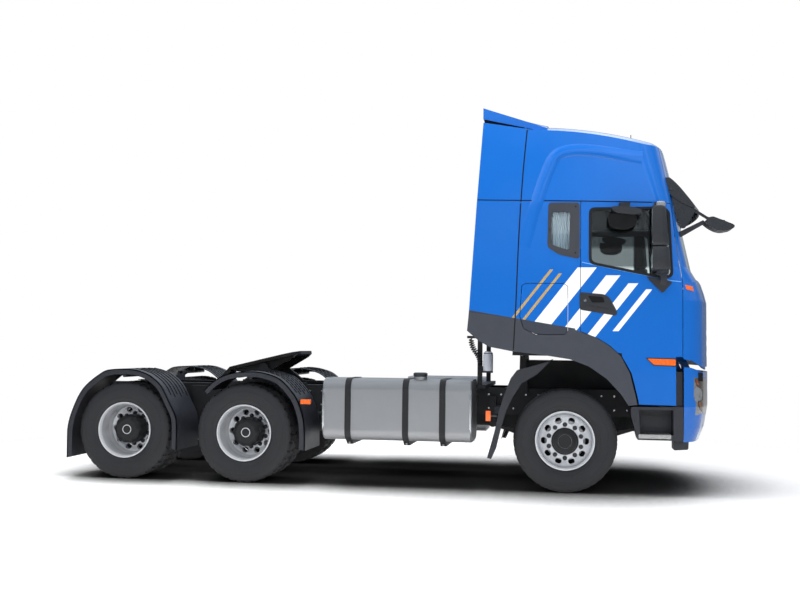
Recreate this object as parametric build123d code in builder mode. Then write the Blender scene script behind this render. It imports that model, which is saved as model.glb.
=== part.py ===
from build123d import *
from math import asin, atan2, cos, degrees, pi, radians, sin, sqrt, tan
import os

# Three-axle tractor unit with a tilting high-roof cab, a fifth wheel and twin-tyred drive axles.
# Frame: +X ahead, +Z up, the right side at -Y, the ground at Z = 0, in millimetres.
# Lengths along X below are counted from the front axle, which stands AXLE_X ahead of the origin.
os.makedirs("parts", exist_ok=True)

# ---- Driving dimensions ----
AXLE_X = 1840.0
WHEELBASE = 3370.0
TANDEM = 1350.0
MID_X = -WHEELBASE
REAR_X = -WHEELBASE - TANDEM
BOGIE_X = -WHEELBASE - TANDEM / 2
TYRE_R = 525.0
TYRE_W = 292.0
RIM_R = 300.0
SEAT_R = 284.0
RIM_W = 252.0
FRONT_TYRE_Y = 1024.0
TWIN_OUT_Y = 1089.0
TWIN_STEP = 330.0
HALF_WIDTH = 1250.0
GAP = 6.0
RUN = 0.05

RAIL_Y = 425.0
RAIL_TOP = 1020.0
RAIL_HEIGHT = 290.0
RAIL_FLANGE = 80.0
RAIL_WALL = 8.0
RAIL_FRONT = 1330.0
RAIL_REAR = -5270.0
RAIL_MID_Z = RAIL_TOP - RAIL_HEIGHT / 2

KING_Y = 800.0
KING_R = 22.0
SPINDLE_R = 45.0
HUB_SPINDLE_R = 50.0

TILT_X = 1300.0
TILT_Z = 1150.0
TILT_PIN_R = 20.0
CHEEK_T = 30.0
LUG_T = 58.0


def side(y):
    """Sketch plane of an upright fore-and-aft section: X ahead of the front axle, Z up, facing -Y."""
    return Plane(origin=(AXLE_X, y, 0), x_dir=(1, 0, 0), z_dir=(0, -1, 0))


def level(z):
    """Sketch plane of a level section: X ahead of the front axle, Y to the left."""
    return Plane(origin=(AXLE_X, 0, z), x_dir=(1, 0, 0), z_dir=(0, 0, 1))


def cross(x):
    """Sketch plane of an upright section across the truck: Y to the left, Z up, facing ahead."""
    return Plane(origin=(AXLE_X + x, 0, 0), x_dir=(0, 1, 0), z_dir=(1, 0, 0))


# ---- Frame: two channel rails with their open sides inwards ----
with BuildPart() as frame_rails:
    with BuildSketch(cross(RAIL_REAR)):
        for hand in (1, -1):
            with Locations((hand * (RAIL_Y - RAIL_FLANGE / 2), RAIL_MID_Z)):
                Rectangle(RAIL_FLANGE, RAIL_HEIGHT)
            with Locations((hand * (RAIL_Y - RAIL_WALL - RAIL_FLANGE / 2), RAIL_MID_Z)):
                Rectangle(RAIL_FLANGE, RAIL_HEIGHT - 2 * RAIL_WALL, mode=Mode.SUBTRACT)
    extrude(amount=RAIL_FRONT - RAIL_REAR)
    # The rails' tails are cut away below.
    with BuildSketch(side(0)):
        Polygon((RAIL_REAR, RAIL_TOP - RAIL_HEIGHT), (RAIL_REAR + 260, RAIL_TOP - RAIL_HEIGHT),
                (RAIL_REAR, RAIL_TOP - RAIL_HEIGHT / 2), align=None)
    extrude(amount=HALF_WIDTH, both=True, mode=Mode.SUBTRACT)
frame_rails.part.label = "frame_rails"
export_step(frame_rails.part, "parts/frame_rails.step")

# Crossmembers: channels between the webs. Columns: x, height, depth along X.
CROSSMEMBERS = [
    (1240, 200, 80),
    (-1480, 160, 70),
    (-2150, 160, 70),
    (-2880, 200, 70),
    (BOGIE_X, 240, 180),
    (-5060, 200, 70),
]
TOW_BORE_R = 20.5
TOW_LENGTH = 90.0
with BuildPart() as crossmembers:
    for x, height, depth in CROSSMEMBERS:
        with BuildSketch(side(-(RAIL_Y - RAIL_WALL))):
            with Locations((x, RAIL_MID_Z)):
                Rectangle(depth, height)
            with Locations((x - RAIL_WALL, RAIL_MID_Z)):
                Rectangle(depth, height - 2 * RAIL_WALL, mode=Mode.SUBTRACT)
        extrude(amount=-2 * (RAIL_Y - RAIL_WALL))
    # Tow block on the rearmost crossmember, bored for a tow pin.
    with BuildSketch(level(RAIL_MID_Z - TOW_LENGTH / 2)):
        with Locations((-5140, 0)):
            Rectangle(110, 130)
    extrude(amount=TOW_LENGTH)
    with BuildSketch(level(RAIL_MID_Z - TOW_LENGTH / 2)):
        with Locations((-5150, 0)):
            Circle(TOW_BORE_R)
    extrude(amount=TOW_LENGTH, mode=Mode.SUBTRACT)
crossmembers.part.label = "crossmembers"
export_step(crossmembers.part, "parts/crossmembers.step")

# ---- Engine and gearbox: one closed heavy block with a stepped gearbox bolted behind ----
ENGINE_HALF = 330.0
ENGINE_TOP = 1325.0
ENGINE_BOTTOM = 575.0
with BuildPart() as engine:
    with BuildSketch(side(-ENGINE_HALF)):
        Polygon((-450, 640), (-350, ENGINE_BOTTOM), (800, ENGINE_BOTTOM), (1000, 700),
                (1000, ENGINE_TOP - 60), (940, ENGINE_TOP), (-450, ENGINE_TOP), align=None)
    extrude(amount=-2 * ENGINE_HALF)
    with BuildSketch(cross(-449)):
        with Locations((0, 790)):
            Circle(270)
    with BuildSketch(cross(-900)):
        with Locations((0, 770)):
            Circle(190)
    loft(ruled=True)
    with BuildSketch(cross(-899)):
        with Locations((0, 770)):
            Circle(190)
    extrude(amount=-400)
engine.part.label = "engine"
export_step(engine.part, "parts/engine.step")

# ---- Propeller shafts: gearbox to the middle axle, and on to the rear axle ----
SHAFT_R = 50.0
SHAFT_Z = 700.0
DIFF_Z = TYRE_R + 45
DIFF_R = 205.0
with BuildPart() as propshafts:
    for front_x, front_z, rear_x, rear_z in (
        (-1301, SHAFT_Z, MID_X + DIFF_R + 130, DIFF_Z + 20),
        (MID_X - DIFF_R - 90, DIFF_Z, REAR_X + DIFF_R + 130, DIFF_Z),
    ):
        with BuildSketch(cross(front_x)):
            with Locations((0, front_z)):
                Circle(SHAFT_R + 25)
        extrude(amount=-40)
        with BuildSketch(cross(rear_x)):
            with Locations((0, rear_z)):
                Circle(SHAFT_R + 25)
        extrude(amount=40)
        with BuildSketch(cross(front_x - 40)):
            with Locations((0, front_z)):
                Circle(SHAFT_R)
        with BuildSketch(cross(rear_x + 40)):
            with Locations((0, rear_z)):
                Circle(SHAFT_R)
        loft(ruled=True)
propshafts.part.label = "propshafts"
export_step(propshafts.part, "parts/propshafts.step")

# ---- Drive axles: banjo housings with the final drive's bowl, and bored nothing ----
AXLE_TUBE_R = 72.0
DRUM_IN_Y = 600.0
with BuildPart() as drive_axles:
    for x in (MID_X, REAR_X):
        with BuildSketch(side(-DRUM_IN_Y)):
            with Locations((x, TYRE_R)):
                Circle(AXLE_TUBE_R)
        extrude(amount=-2 * DRUM_IN_Y)
        with BuildSketch(side(-TWIN_OUT_Y + 60)):
            with Locations((x, TYRE_R)):
                Circle(HUB_SPINDLE_R)
        extrude(amount=-2 * (TWIN_OUT_Y - 60))
        # Final drive: a bowl revolved about the pinion's line.
        with BuildSketch(side(0)):
            with BuildLine():
                Polyline((x - DIFF_R - 90, DIFF_Z), (x - DIFF_R - 90, DIFF_Z + 70),
                         (x - DIFF_R, DIFF_Z + 90), (x - 120, DIFF_Z + DIFF_R),
                         (x + 120, DIFF_Z + DIFF_R), (x + DIFF_R, DIFF_Z + 110),
                         (x + DIFF_R + 130, DIFF_Z + 75), (x + DIFF_R + 130, DIFF_Z), close=True)
            make_face()
        revolve(axis=Axis((AXLE_X + x, 0, DIFF_Z), (1, 0, 0)))
drive_axles.part.label = "drive_axles"
export_step(drive_axles.part, "parts/drive_axles.step")

# ---- Leaf springs: front packs under the rails, and the bogie's inverted packs ----
SPRING_Y = 465.0
SPRING_W = 80.0
FRONT_SPRING_HALF = 780.0
BEAM_TOP = 470.0
with BuildPart() as leaf_springs:
    for hand in (1, -1):
        # Front pack: cambered, seated on the axle beam, an eye and a hanger at each end.
        with BuildSketch(side(-hand * SPRING_Y - SPRING_W / 2)):
            with BuildLine():
                ThreePointArc((-FRONT_SPRING_HALF, 640), (0, BEAM_TOP + 70), (FRONT_SPRING_HALF, 640))
                Line((FRONT_SPRING_HALF, 640), (FRONT_SPRING_HALF, 612))
                Line((FRONT_SPRING_HALF, 612), (420, BEAM_TOP + 25))
                Line((420, BEAM_TOP + 25), (90, BEAM_TOP))
                Line((90, BEAM_TOP), (-90, BEAM_TOP))
                Line((-90, BEAM_TOP), (-420, BEAM_TOP + 25))
                Line((-420, BEAM_TOP + 25), (-FRONT_SPRING_HALF, 612))
                Line((-FRONT_SPRING_HALF, 612), (-FRONT_SPRING_HALF, 640))
            make_face()
            for end in (1, -1):
                with Locations((end * FRONT_SPRING_HALF, 640)):
                    Circle(42)
                with Locations((end * FRONT_SPRING_HALF, 780)):
                    Rectangle(70, 300)
        extrude(amount=-SPRING_W)
        # Bogie pack: high in the middle, its ends seated over the axle tubes.
        with BuildSketch(side(-hand * SPRING_Y - SPRING_W / 2)):
            with BuildLine():
                ThreePointArc((REAR_X - 60, TYRE_R + 125), (BOGIE_X, TYRE_R + 190), (MID_X + 60, TYRE_R + 125))
                Polyline((MID_X + 60, TYRE_R + 125), (MID_X + 60, TYRE_R + AXLE_TUBE_R),
                         (MID_X - 80, TYRE_R + AXLE_TUBE_R), (BOGIE_X + 120, TYRE_R - 10),
                         (BOGIE_X - 120, TYRE_R - 10), (REAR_X + 80, TYRE_R + AXLE_TUBE_R),
                         (REAR_X - 60, TYRE_R + AXLE_TUBE_R), (REAR_X - 60, TYRE_R + 125))
            make_face()
        extrude(amount=-SPRING_W)
        # Trunnion bracket that hangs the pack from the rail.
        with BuildSketch(side(-hand * (RAIL_Y + 45) - 45)):
            Polygon((BOGIE_X - 190, RAIL_TOP - 30), (BOGIE_X + 190, RAIL_TOP - 30),
                    (BOGIE_X + 110, TYRE_R - 70), (BOGIE_X - 110, TYRE_R - 70), align=None)
        extrude(amount=-90)
leaf_springs.part.label = "leaf_springs"
export_step(leaf_springs.part, "parts/leaf_springs.step")

# ---- Steered axle: a dropped beam, and a knuckle on a kingpin at each end ----
BEAM_HALF_X = 50.0
EYE_R = 45.0
EYE_LOW = 455.0
EYE_HIGH = 595.0
with BuildPart() as front_axle:
    with BuildSketch(cross(-BEAM_HALF_X)):
        Polygon((-KING_Y, EYE_LOW), (-KING_Y + 60, EYE_LOW), (-KING_Y + 120, EYE_LOW - 20),
                (-560, BEAM_TOP - 105), (560, BEAM_TOP - 105), (KING_Y - 120, EYE_LOW - 20),
                (KING_Y - 60, EYE_LOW), (KING_Y, EYE_LOW),
                (KING_Y, EYE_HIGH), (KING_Y - 100, EYE_HIGH), (560, BEAM_TOP),
                (-560, BEAM_TOP), (-KING_Y + 100, EYE_HIGH), (-KING_Y, EYE_HIGH), align=None)
    extrude(amount=2 * BEAM_HALF_X)
    # The I section's hollows, front and back.
    for face, way in ((-BEAM_HALF_X, 1), (BEAM_HALF_X, -1)):
        with BuildSketch(cross(face)):
            Polygon((-560, BEAM_TOP - 85), (560, BEAM_TOP - 85), (560, BEAM_TOP - 20),
                    (-560, BEAM_TOP - 20), align=None)
        extrude(amount=way * 36, mode=Mode.SUBTRACT)
    for hand in (1, -1):
        with BuildSketch(level(EYE_LOW)):
            with Locations((0, hand * KING_Y)):
                Circle(EYE_R)
        extrude(amount=EYE_HIGH - EYE_LOW)
        with BuildSketch(level(EYE_LOW)):
            with Locations((0, hand * KING_Y)):
                Circle(KING_R + RUN)
        extrude(amount=EYE_HIGH - EYE_LOW, mode=Mode.SUBTRACT)
front_axle.part.label = "front_axle"
export_step(front_axle.part, "parts/front_axle.step")

FORK_GAP = 6.0
FORK_LUG = 50.0
FRONT_HUB_IN = 905.0
FRONT_HUB_OUT = 1190.0
with BuildPart() as knuckle_right:
    # Kingpin, with a lug above and below the beam's eye.
    with BuildSketch(level(EYE_LOW - FORK_GAP - FORK_LUG)):
        with Locations((0, -KING_Y)):
            Circle(KING_R)
    extrude(amount=EYE_HIGH - EYE_LOW + 2 * (FORK_GAP + FORK_LUG))
    for low in (EYE_LOW - FORK_GAP - FORK_LUG, EYE_HIGH + FORK_GAP):
        with BuildSketch(level(low)):
            with Locations((0, -KING_Y)):
                Circle(EYE_R)
            with Locations((0, -KING_Y - 45)):
                Rectangle(2 * EYE_R, 90)
        extrude(amount=FORK_LUG)
    with BuildSketch(side(-KING_Y - EYE_R - FORK_GAP)):
        with Locations((0, TYRE_R)):
            Rectangle(2 * EYE_R + 20, EYE_HIGH - EYE_LOW + 2 * (FORK_GAP + FORK_LUG))
    extrude(amount=40)
    with BuildSketch(side(-KING_Y - EYE_R - FORK_GAP)):
        with Locations((0, TYRE_R)):
            Circle(SPINDLE_R)
    extrude(amount=FRONT_HUB_OUT - 60 - KING_Y - EYE_R - FORK_GAP)
    # Steering arm, back and inwards from the lower lug.
    with BuildSketch(level(EYE_LOW - FORK_GAP - FORK_LUG)):
        Polygon((-20, -KING_Y + 30), (-20, -KING_Y - 60), (-190, -KING_Y + 20),
                (-230, -KING_Y + 40), (-200, -KING_Y + 80), align=None)
    extrude(amount=30)
knuckle_right.part.label = "knuckle_right"
export_step(knuckle_right.part, "parts/knuckle_right.step")

with BuildPart() as knuckle_left:
    mirror(knuckle_right.part, about=Plane.XZ)
knuckle_left.part.label = "knuckle_left"
export_step(knuckle_left.part, "parts/knuckle_left.step")

# ---- Wheels ----
DISC_T = 14.0
FLANGE_T = 13.0
BARREL_T = 9.0
HAND_HOLE_R = 33.0
HAND_HOLE_PCR = 212.0
HAND_HOLES = 10


def spin(x):
    """The axis of an axle's wheels, towards the left."""
    return Axis((AXLE_X + x, 0, TYRE_R), (0, 1, 0))


def tyre(x, centre_y):
    """A tyre revolved about its axle: flat tread, sloped shoulders, bulged walls, seated on the rim."""
    half = TYRE_W / 2
    with BuildPart() as ring:
        with BuildSketch(cross(x)):
            Polygon((centre_y - RIM_W / 2 + 22, TYRE_R + SEAT_R),
                    (centre_y - RIM_W / 2 + FLANGE_T, TYRE_R + RIM_R), (centre_y - RIM_W / 2, TYRE_R + RIM_R + 14),
                    (centre_y - half, TYRE_R + 400), (centre_y - half + 6, TYRE_R + 470),
                    (centre_y - half + 34, TYRE_R + TYRE_R - 8), (centre_y - half + 60, TYRE_R + TYRE_R),
                    (centre_y + half - 60, TYRE_R + TYRE_R), (centre_y + half - 34, TYRE_R + TYRE_R - 8),
                    (centre_y + half - 6, TYRE_R + 470), (centre_y + half, TYRE_R + 400),
                    (centre_y + RIM_W / 2, TYRE_R + RIM_R + 14), (centre_y + RIM_W / 2 - FLANGE_T, TYRE_R + RIM_R),
                    (centre_y + RIM_W / 2 - 22, TYRE_R + SEAT_R), align=None)
        revolve(axis=spin(x))
    return ring.part


def rim(x, centre_y, way):
    """A rim barrel with its two flanges. way is +1 where its outer side looks left."""
    out = centre_y + way * RIM_W / 2
    inn = centre_y - way * RIM_W / 2
    base = TYRE_R + SEAT_R
    with BuildPart() as ring:
        with BuildSketch(cross(x)):
            Polygon((out, TYRE_R + RIM_R), (out - way * FLANGE_T, TYRE_R + RIM_R), (out - way * 22, base),
                    (inn + way * 22, base), (inn + way * FLANGE_T, TYRE_R + RIM_R), (inn, TYRE_R + RIM_R),
                    (inn, TYRE_R + RIM_R - 12), (inn + way * 24, base - BARREL_T),
                    (out - way * 24, base - BARREL_T), (out, TYRE_R + RIM_R - 12), align=None)
        revolve(axis=spin(x))
    return ring.part


# Columns: name, axle x, the side's sign (+1 left), the tyre centres' distances from the middle.
WHEELS = [
    ("front_right", 0, -1, (FRONT_TYRE_Y,)),
    ("front_left", 0, 1, (FRONT_TYRE_Y,)),
    ("mid_right", MID_X, -1, (TWIN_OUT_Y, TWIN_OUT_Y - TWIN_STEP)),
    ("mid_left", MID_X, 1, (TWIN_OUT_Y, TWIN_OUT_Y - TWIN_STEP)),
    ("rear_right", REAR_X, -1, (TWIN_OUT_Y, TWIN_OUT_Y - TWIN_STEP)),
    ("rear_left", REAR_X, 1, (TWIN_OUT_Y, TWIN_OUT_Y - TWIN_STEP)),
]
TWIN_FACE = TWIN_OUT_Y - TWIN_STEP / 2
for name, x, hand, centres in WHEELS:
    with BuildPart() as tyres:
        for centre in centres:
            add(tyre(x, hand * centre))
    tyres.part.label = "tyre_" + name
    export_step(tyres.part, "parts/tyre_" + name + ".step")

    with BuildPart() as wheel:
        for centre in centres:
            add(rim(x, hand * centre, hand))
        if len(centres) == 1:
            # A disc that bulges outwards to the hub face, a hub with its cap, and the brake drum behind.
            base = TYRE_R + SEAT_R - BARREL_T
            with BuildSketch(cross(x)):
                Polygon((hand * 1090, base + 2), (hand * 1128, TYRE_R + 245), (hand * 1182, TYRE_R + 190),
                        (hand * FRONT_HUB_OUT, TYRE_R + 178), (hand * FRONT_HUB_OUT, TYRE_R + 112),
                        (hand * 1225, TYRE_R + 104), (hand * 1240, TYRE_R + 84), (hand * 1242, TYRE_R),
                        (hand * (FRONT_HUB_OUT - 59), TYRE_R), (hand * (FRONT_HUB_OUT - 59), TYRE_R + SPINDLE_R + RUN),
                        (hand * FRONT_HUB_IN, TYRE_R + SPINDLE_R + RUN), (hand * FRONT_HUB_IN, TYRE_R + 205),
                        (hand * (FRONT_HUB_IN + 150), TYRE_R + 205), (hand * (FRONT_HUB_IN + 160), TYRE_R + 180),
                        (hand * 1168, TYRE_R + 178), (hand * 1114, TYRE_R + 237), (hand * 1070, base + 2), align=None)
            revolve(axis=spin(x))
        else:
            # Two dished discs back to back at the hub face, the hub, and the brake drum on the inner side.
            base = TYRE_R + SEAT_R - BARREL_T
            with BuildSketch(cross(x)):
                Polygon((hand * 1010, base + 2), (hand * 962, TYRE_R + 252), (hand * (TWIN_FACE + 18), TYRE_R + 205),
                        (hand * (TWIN_FACE + 18), TYRE_R + 142), (hand * 1125, TYRE_R + 128),
                        (hand * 1150, TYRE_R + 100), (hand * 1152, TYRE_R), (hand * (TWIN_OUT_Y - 59), TYRE_R),
                        (hand * (TWIN_OUT_Y - 59), TYRE_R + HUB_SPINDLE_R + RUN),
                        (hand * (DRUM_IN_Y + 24), TYRE_R + HUB_SPINDLE_R + RUN),
                        (hand * (DRUM_IN_Y + 24), TYRE_R + 205), (hand * (DRUM_IN_Y + 250), TYRE_R + 205),
                        (hand * (TWIN_FACE - 18), TYRE_R + 180), (hand * (TWIN_FACE - 18), TYRE_R + 205),
                        (hand * 886, TYRE_R + 252), (hand * 838, base + 2), (hand * 856, base + 2),
                        (hand * 900, TYRE_R + 262), (hand * (TWIN_FACE - 2), TYRE_R + 216),
                        (hand * (TWIN_FACE + 2), TYRE_R + 216), (hand * 948, TYRE_R + 262),
                        (hand * 992, base + 2), align=None)
            revolve(axis=spin(x))
        with BuildSketch(side(hand * 1250)):
            with Locations((x, TYRE_R)):
                with PolarLocations(HAND_HOLE_PCR, HAND_HOLES):
                    Circle(HAND_HOLE_R)
        extrude(amount=hand * (140 if len(centres) == 1 else 400), mode=Mode.SUBTRACT)
    wheel.part.label = "wheel_" + name
    export_step(wheel.part, "parts/wheel_" + name + ".step")

# ---- Cab: one hollow envelope, cut into the panels that meet on it ----
CROWN = 4000.0
WALL = 42.0
CAB_HALF = HALF_WIDTH
# Level sections of the cab. Columns: height, nose at the middle, half width, corner radius, back.
CAB_SECTIONS = [
    (1250, 1506, CAB_HALF, 260, -536),
    (1950, 1503, CAB_HALF, 260, -506),
    (2040, 1480, CAB_HALF, 250, -502),
    (2140, 1447, CAB_HALF, 240, -498),
    (2290, 1358, CAB_HALF, 215, -491),
    (2950, 1212, CAB_HALF - 4, 185, -452),
    (3950, 968, CAB_HALF - 110, 300, -400),
]
ROOF_AXIS_Z = 290.0


def cab_section(nose, half, corner, back, inset):
    """Half-crowned outline: straight sides, round corners and a front arc, all moved inwards by inset."""
    crown_x = nose - CROWN
    corner_y = half - corner
    corner_x = crown_x + sqrt((CROWN - corner) ** 2 - corner_y ** 2)
    lean = atan2(corner_y, corner_x - crown_x)
    radius = corner - inset
    edge = half - inset
    meet = (crown_x + (CROWN - inset) * cos(lean), (CROWN - inset) * sin(lean))
    turn = (lean + pi / 2) / 2
    bend = (corner_x + radius * cos(turn), corner_y + radius * sin(turn))
    with BuildLine() as line:
        Line((back + inset, -edge), (corner_x, -edge))
        ThreePointArc((corner_x, -edge), (bend[0], -bend[1]), (meet[0], -meet[1]))
        ThreePointArc((meet[0], -meet[1]), (nose - inset, 0), meet)
        ThreePointArc(meet, bend, (corner_x, edge))
        Line((corner_x, edge), (back + inset, edge))
        Line((back + inset, edge), (back + inset, -edge))
    return line.line


def cab_block(inset, longer=0, domed=True):
    """The cab's envelope moved inwards by inset: the sections lofted, under a roof crowned both ways."""
    with BuildPart() as block:
        for height, nose, half, corner, back in CAB_SECTIONS:
            with BuildSketch(level(height)):
                with BuildLine():
                    add(cab_section(nose, half, corner, back - longer, inset))
                make_face()
        loft(ruled=True)
        if domed:
            with BuildSketch(side(0)):
                with BuildLine():
                    ThreePointArc((-1100, 3850 - inset), (236, 3858 - inset), (830 - inset / 3, 3730 - inset))
                    ThreePointArc((830 - inset / 3, 3730 - inset), (962 - inset, 3662 - inset),
                                  (1028 - inset, 3550 - inset / 2))
                    Polyline((1028 - inset, 3550 - inset / 2), (1120, 3380), (1600, 3250), (1600, ROOF_AXIS_Z),
                             (-1100, ROOF_AXIS_Z), (-1100, 3850 - inset))
                make_face()
            revolve(axis=Axis((AXLE_X, 0, ROOF_AXIS_Z), (1, 0, 0)), mode=Mode.INTERSECT)
    return block.part


cab_outer = cab_block(0)
cab_inner = cab_block(WALL)
with BuildPart() as cab_skin:
    add(cab_outer)
    add(cab_inner, mode=Mode.SUBTRACT)

# Where the panels part, seen from the side.
SEAM_BACK = (-1000, 2992)
SEAM_FRONT = (1700, 2912)


def seam_z(x):
    """Height of the seam under the roof."""
    return SEAM_BACK[1] + (SEAM_FRONT[1] - SEAM_BACK[1]) * (x - SEAM_BACK[0]) / (SEAM_FRONT[0] - SEAM_BACK[0])


DOOR_BACK = 150.0
DOOR_FRONT = 1150.0
SILL_Z = 1388.0
BELT_Z = 2130.0
PANEL_BOTTOM = 1290.0
FRONT_SPLIT_Y = 850.0
GLASS_T = 14.0
DOOR_OUTLINE = [(DOOR_BACK, SILL_Z), (DOOR_FRONT, SILL_Z), (DOOR_FRONT, BELT_Z), (1078, 2600),
                (1046, seam_z(1046) - GAP / 2), (DOOR_BACK, seam_z(DOOR_BACK) - GAP / 2)]
DOOR_WINDOW = [(255, 2335), (943, 2191), (1035, 2200), (1004, 2829), (960, 2866), (255, 2866)]
QUARTER_WINDOW = [(-142, 2514), (34, 2454), (45, 2847), (-140, 2849)]
LOCKER_OUTLINE = [(-458, 1780), (-438, 2098), (-400, 2118), (-20, 2118), (24, 2090), (24, 1640), (-10, 1600),
                  (-300, 1600), (-420, 1660)]
# The wheel-arch trim's upper edge, from the back of the cab to the foot of the door.
TRIM_TOP = [(-978, 1820), (-498, 1763), (-114, 1699), (120, 1644), (323, 1562), (435, 1494), (548, 1392),
            (637, 1222), (693, 994), (709, 908)]
TRIM_FOOT = [(626, 898), (548, 1014), (413, 1160), (233, 1285), (48, 1352), (-230, 1393), (-541, 1427),
             (-765, 1469), (-871, 1527), (-995, 1631)]


def grown(points, by):
    """A closed outline moved outwards by that much, or inwards where it is negative."""
    with BuildSketch() as flat:
        Polygon(*points, align=None)
        offset(amount=by, kind=Kind.INTERSECTION)
    return flat.sketch


def side_cut(sketch, inner_y, hand):
    """An outline drawn in the side view, as a block from inner_y out past one side of the cab."""
    with BuildPart() as block:
        with BuildSketch(side(hand * inner_y)):
            add(sketch)
        extrude(amount=-hand * (HALF_WIDTH + 60 - inner_y))
    return block.part


def front_cut(half, low, high, back=700):
    """A block across the cab's front: as wide as half each way, between two heights."""
    with BuildPart() as block:
        with BuildSketch(cross(back)):
            with Locations((0, (low + high) / 2)):
                Rectangle(2 * half, high - low)
        extrude(amount=1000)
    return block.part


with BuildPart() as above_seam:
    with BuildSketch(side(-HALF_WIDTH - 60)):
        Polygon(SEAM_BACK, SEAM_FRONT, (1700, 4100), (-1000, 4100), align=None)
    extrude(amount=-2 * (HALF_WIDTH + 60))
with BuildPart() as below_seam:
    with BuildSketch(side(-HALF_WIDTH - 60)):
        Polygon((SEAM_BACK[0], SEAM_BACK[1] - GAP), (SEAM_FRONT[0], SEAM_FRONT[1] - GAP), (1700, 600), (-1000, 600),
                align=None)
    extrude(amount=-2 * (HALF_WIDTH + 60))

INNER_Y = 1100.0
DOOR_AIR = 24.0
with BuildPart() as glass_skin:
    add(cab_block(14))
    add(cab_block(14 + GLASS_T), mode=Mode.SUBTRACT)
TRIM = TRIM_TOP + TRIM_FOOT
WINDSCREEN = [(-1066, 2172), (1066, 2172), (1048, 2926), (-1048, 2926)]
PANEL_TOP = 2036.0

# Roof: the moulded cap above the seam.
with BuildPart() as cab_roof:
    add(cab_skin.part)
    add(above_seam.part, mode=Mode.INTERSECT)
cab_roof.part.label = "cab_roof"
export_step(cab_roof.part, "parts/cab_roof.step")

# Shell: back wall, side walls, pillars, cowl, floor and bulkhead, open at the doors and windows.
with BuildPart() as cab_shell:
    add(cab_skin.part)
    with BuildSketch(side(-HALF_WIDTH - 60)):
        Polygon((SEAM_BACK[0], SEAM_BACK[1]), (SEAM_FRONT[0], SEAM_FRONT[1]), (1700, SILL_Z - 3), (-1000, SILL_Z - 3),
                align=None)
    extrude(amount=-2 * (HALF_WIDTH + 60), mode=Mode.INTERSECT)
    for hand in (-1, 1):
        add(side_cut(grown(DOOR_OUTLINE, GAP / 2), INNER_Y, hand), mode=Mode.SUBTRACT)
        add(side_cut(grown(TRIM, 0.0), INNER_Y, hand), mode=Mode.SUBTRACT)
        add(side_cut(grown(LOCKER_OUTLINE, GAP / 2), INNER_Y, hand), mode=Mode.SUBTRACT)
        add(side_cut(grown(QUARTER_WINDOW, 0.0), INNER_Y, hand), mode=Mode.SUBTRACT)
    # Front panel's and corner panels' place, from door to door.
    with BuildSketch(side(-HALF_WIDTH - 60)):
        Polygon((1156, 1200), (1700, 1200), (1700, PANEL_TOP + GAP), (1156, PANEL_TOP + GAP), align=None)
    extrude(amount=-2 * (HALF_WIDTH + 60), mode=Mode.SUBTRACT)
    with BuildSketch(cross(900)):
        Polygon(*WINDSCREEN, align=None)
    extrude(amount=800, mode=Mode.SUBTRACT)
with BuildPart() as cab_floor:
    add(cab_inner)
    with BuildSketch(side(-HALF_WIDTH)):
        Polygon((-600, SILL_Z - 3), (1190, SILL_Z - 3), (1190, 2170), (1160, 2170), (1160, SILL_Z + 37),
                (-600, SILL_Z + 37), align=None)
    extrude(amount=-2 * HALF_WIDTH, mode=Mode.INTERSECT)
    # The floor's edges stand clear of the doors.
    for hand in (-1, 1):
        with BuildSketch(side(hand * (HALF_WIDTH - WALL - DOOR_AIR))):
            Polygon((DOOR_BACK - 20, 1200), (1200, 1200), (1200, 2000), (DOOR_BACK - 20, 2000), align=None)
        extrude(amount=-hand * 60, mode=Mode.SUBTRACT)
with BuildPart() as cab_shell_whole:
    add(cab_shell.part)
    add(cab_floor.part)
    # Lugs that reach forward from the bulkhead's foot to the tilt pins.
    for hand in (-1, 1):
        with BuildSketch(side(hand * (RAIL_Y + CHEEK_T + GAP))):
            Polygon((1040, SILL_Z - 1), (1175, SILL_Z + 120), (1190, SILL_Z + 120), (1345, TILT_Z + 30),
                    (1350, TILT_Z), (TILT_X, TILT_Z - 50), (TILT_X - 50, TILT_Z - 20), (1200, SILL_Z - 60),
                    align=None)
        extrude(amount=-hand * LUG_T)
        with BuildSketch(side(hand * (RAIL_Y + CHEEK_T))):
            with Locations((TILT_X, TILT_Z)):
                Circle(TILT_PIN_R + RUN)
        extrude(amount=-hand * (LUG_T + 2 * GAP), mode=Mode.SUBTRACT)
cab_shell_whole.part.label = "cab_shell"
export_step(cab_shell_whole.part, "parts/cab_shell.step")

# Glass: windscreen and quarter windows, set in the middle of the wall.
with BuildPart() as cab_glass:
    add(glass_skin.part)
    with BuildSketch(cross(900)):
        Polygon(*WINDSCREEN, align=None)
    extrude(amount=800, mode=Mode.INTERSECT)
with BuildPart() as quarter_glass:
    add(glass_skin.part)
    with BuildSketch(side(-HALF_WIDTH - 60)):
        add(grown(QUARTER_WINDOW, 0.0))
    extrude(amount=-2 * (HALF_WIDTH + 60), mode=Mode.INTERSECT)
with BuildPart() as cab_glass_all:
    add(cab_glass.part)
    add(quarter_glass.part)
cab_glass_all.part.label = "cab_glass"
export_step(cab_glass_all.part, "parts/cab_glass.step")

# Corner panels: from the door's front edge round to the front panel.
CORNER_FOOT = [(1156, 1368), (1232, 1357), (1400, 1262), (1700, 1262), (1700, PANEL_TOP + GAP),
               (1156, PANEL_TOP + GAP)]
with BuildPart() as corner_panels:
    add(cab_skin.part)
    with BuildSketch(side(-HALF_WIDTH - 60)):
        Polygon(*CORNER_FOOT, align=None)
    extrude(amount=-2 * (HALF_WIDTH + 60), mode=Mode.INTERSECT)
    with BuildSketch(cross(900)):
        with Locations((0, 1700)):
            Rectangle(2 * FRONT_SPLIT_Y + GAP, 1200)
    extrude(amount=800, mode=Mode.SUBTRACT)
corner_panels.part.label = "corner_panels"
export_step(corner_panels.part, "parts/corner_panels.step")

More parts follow.
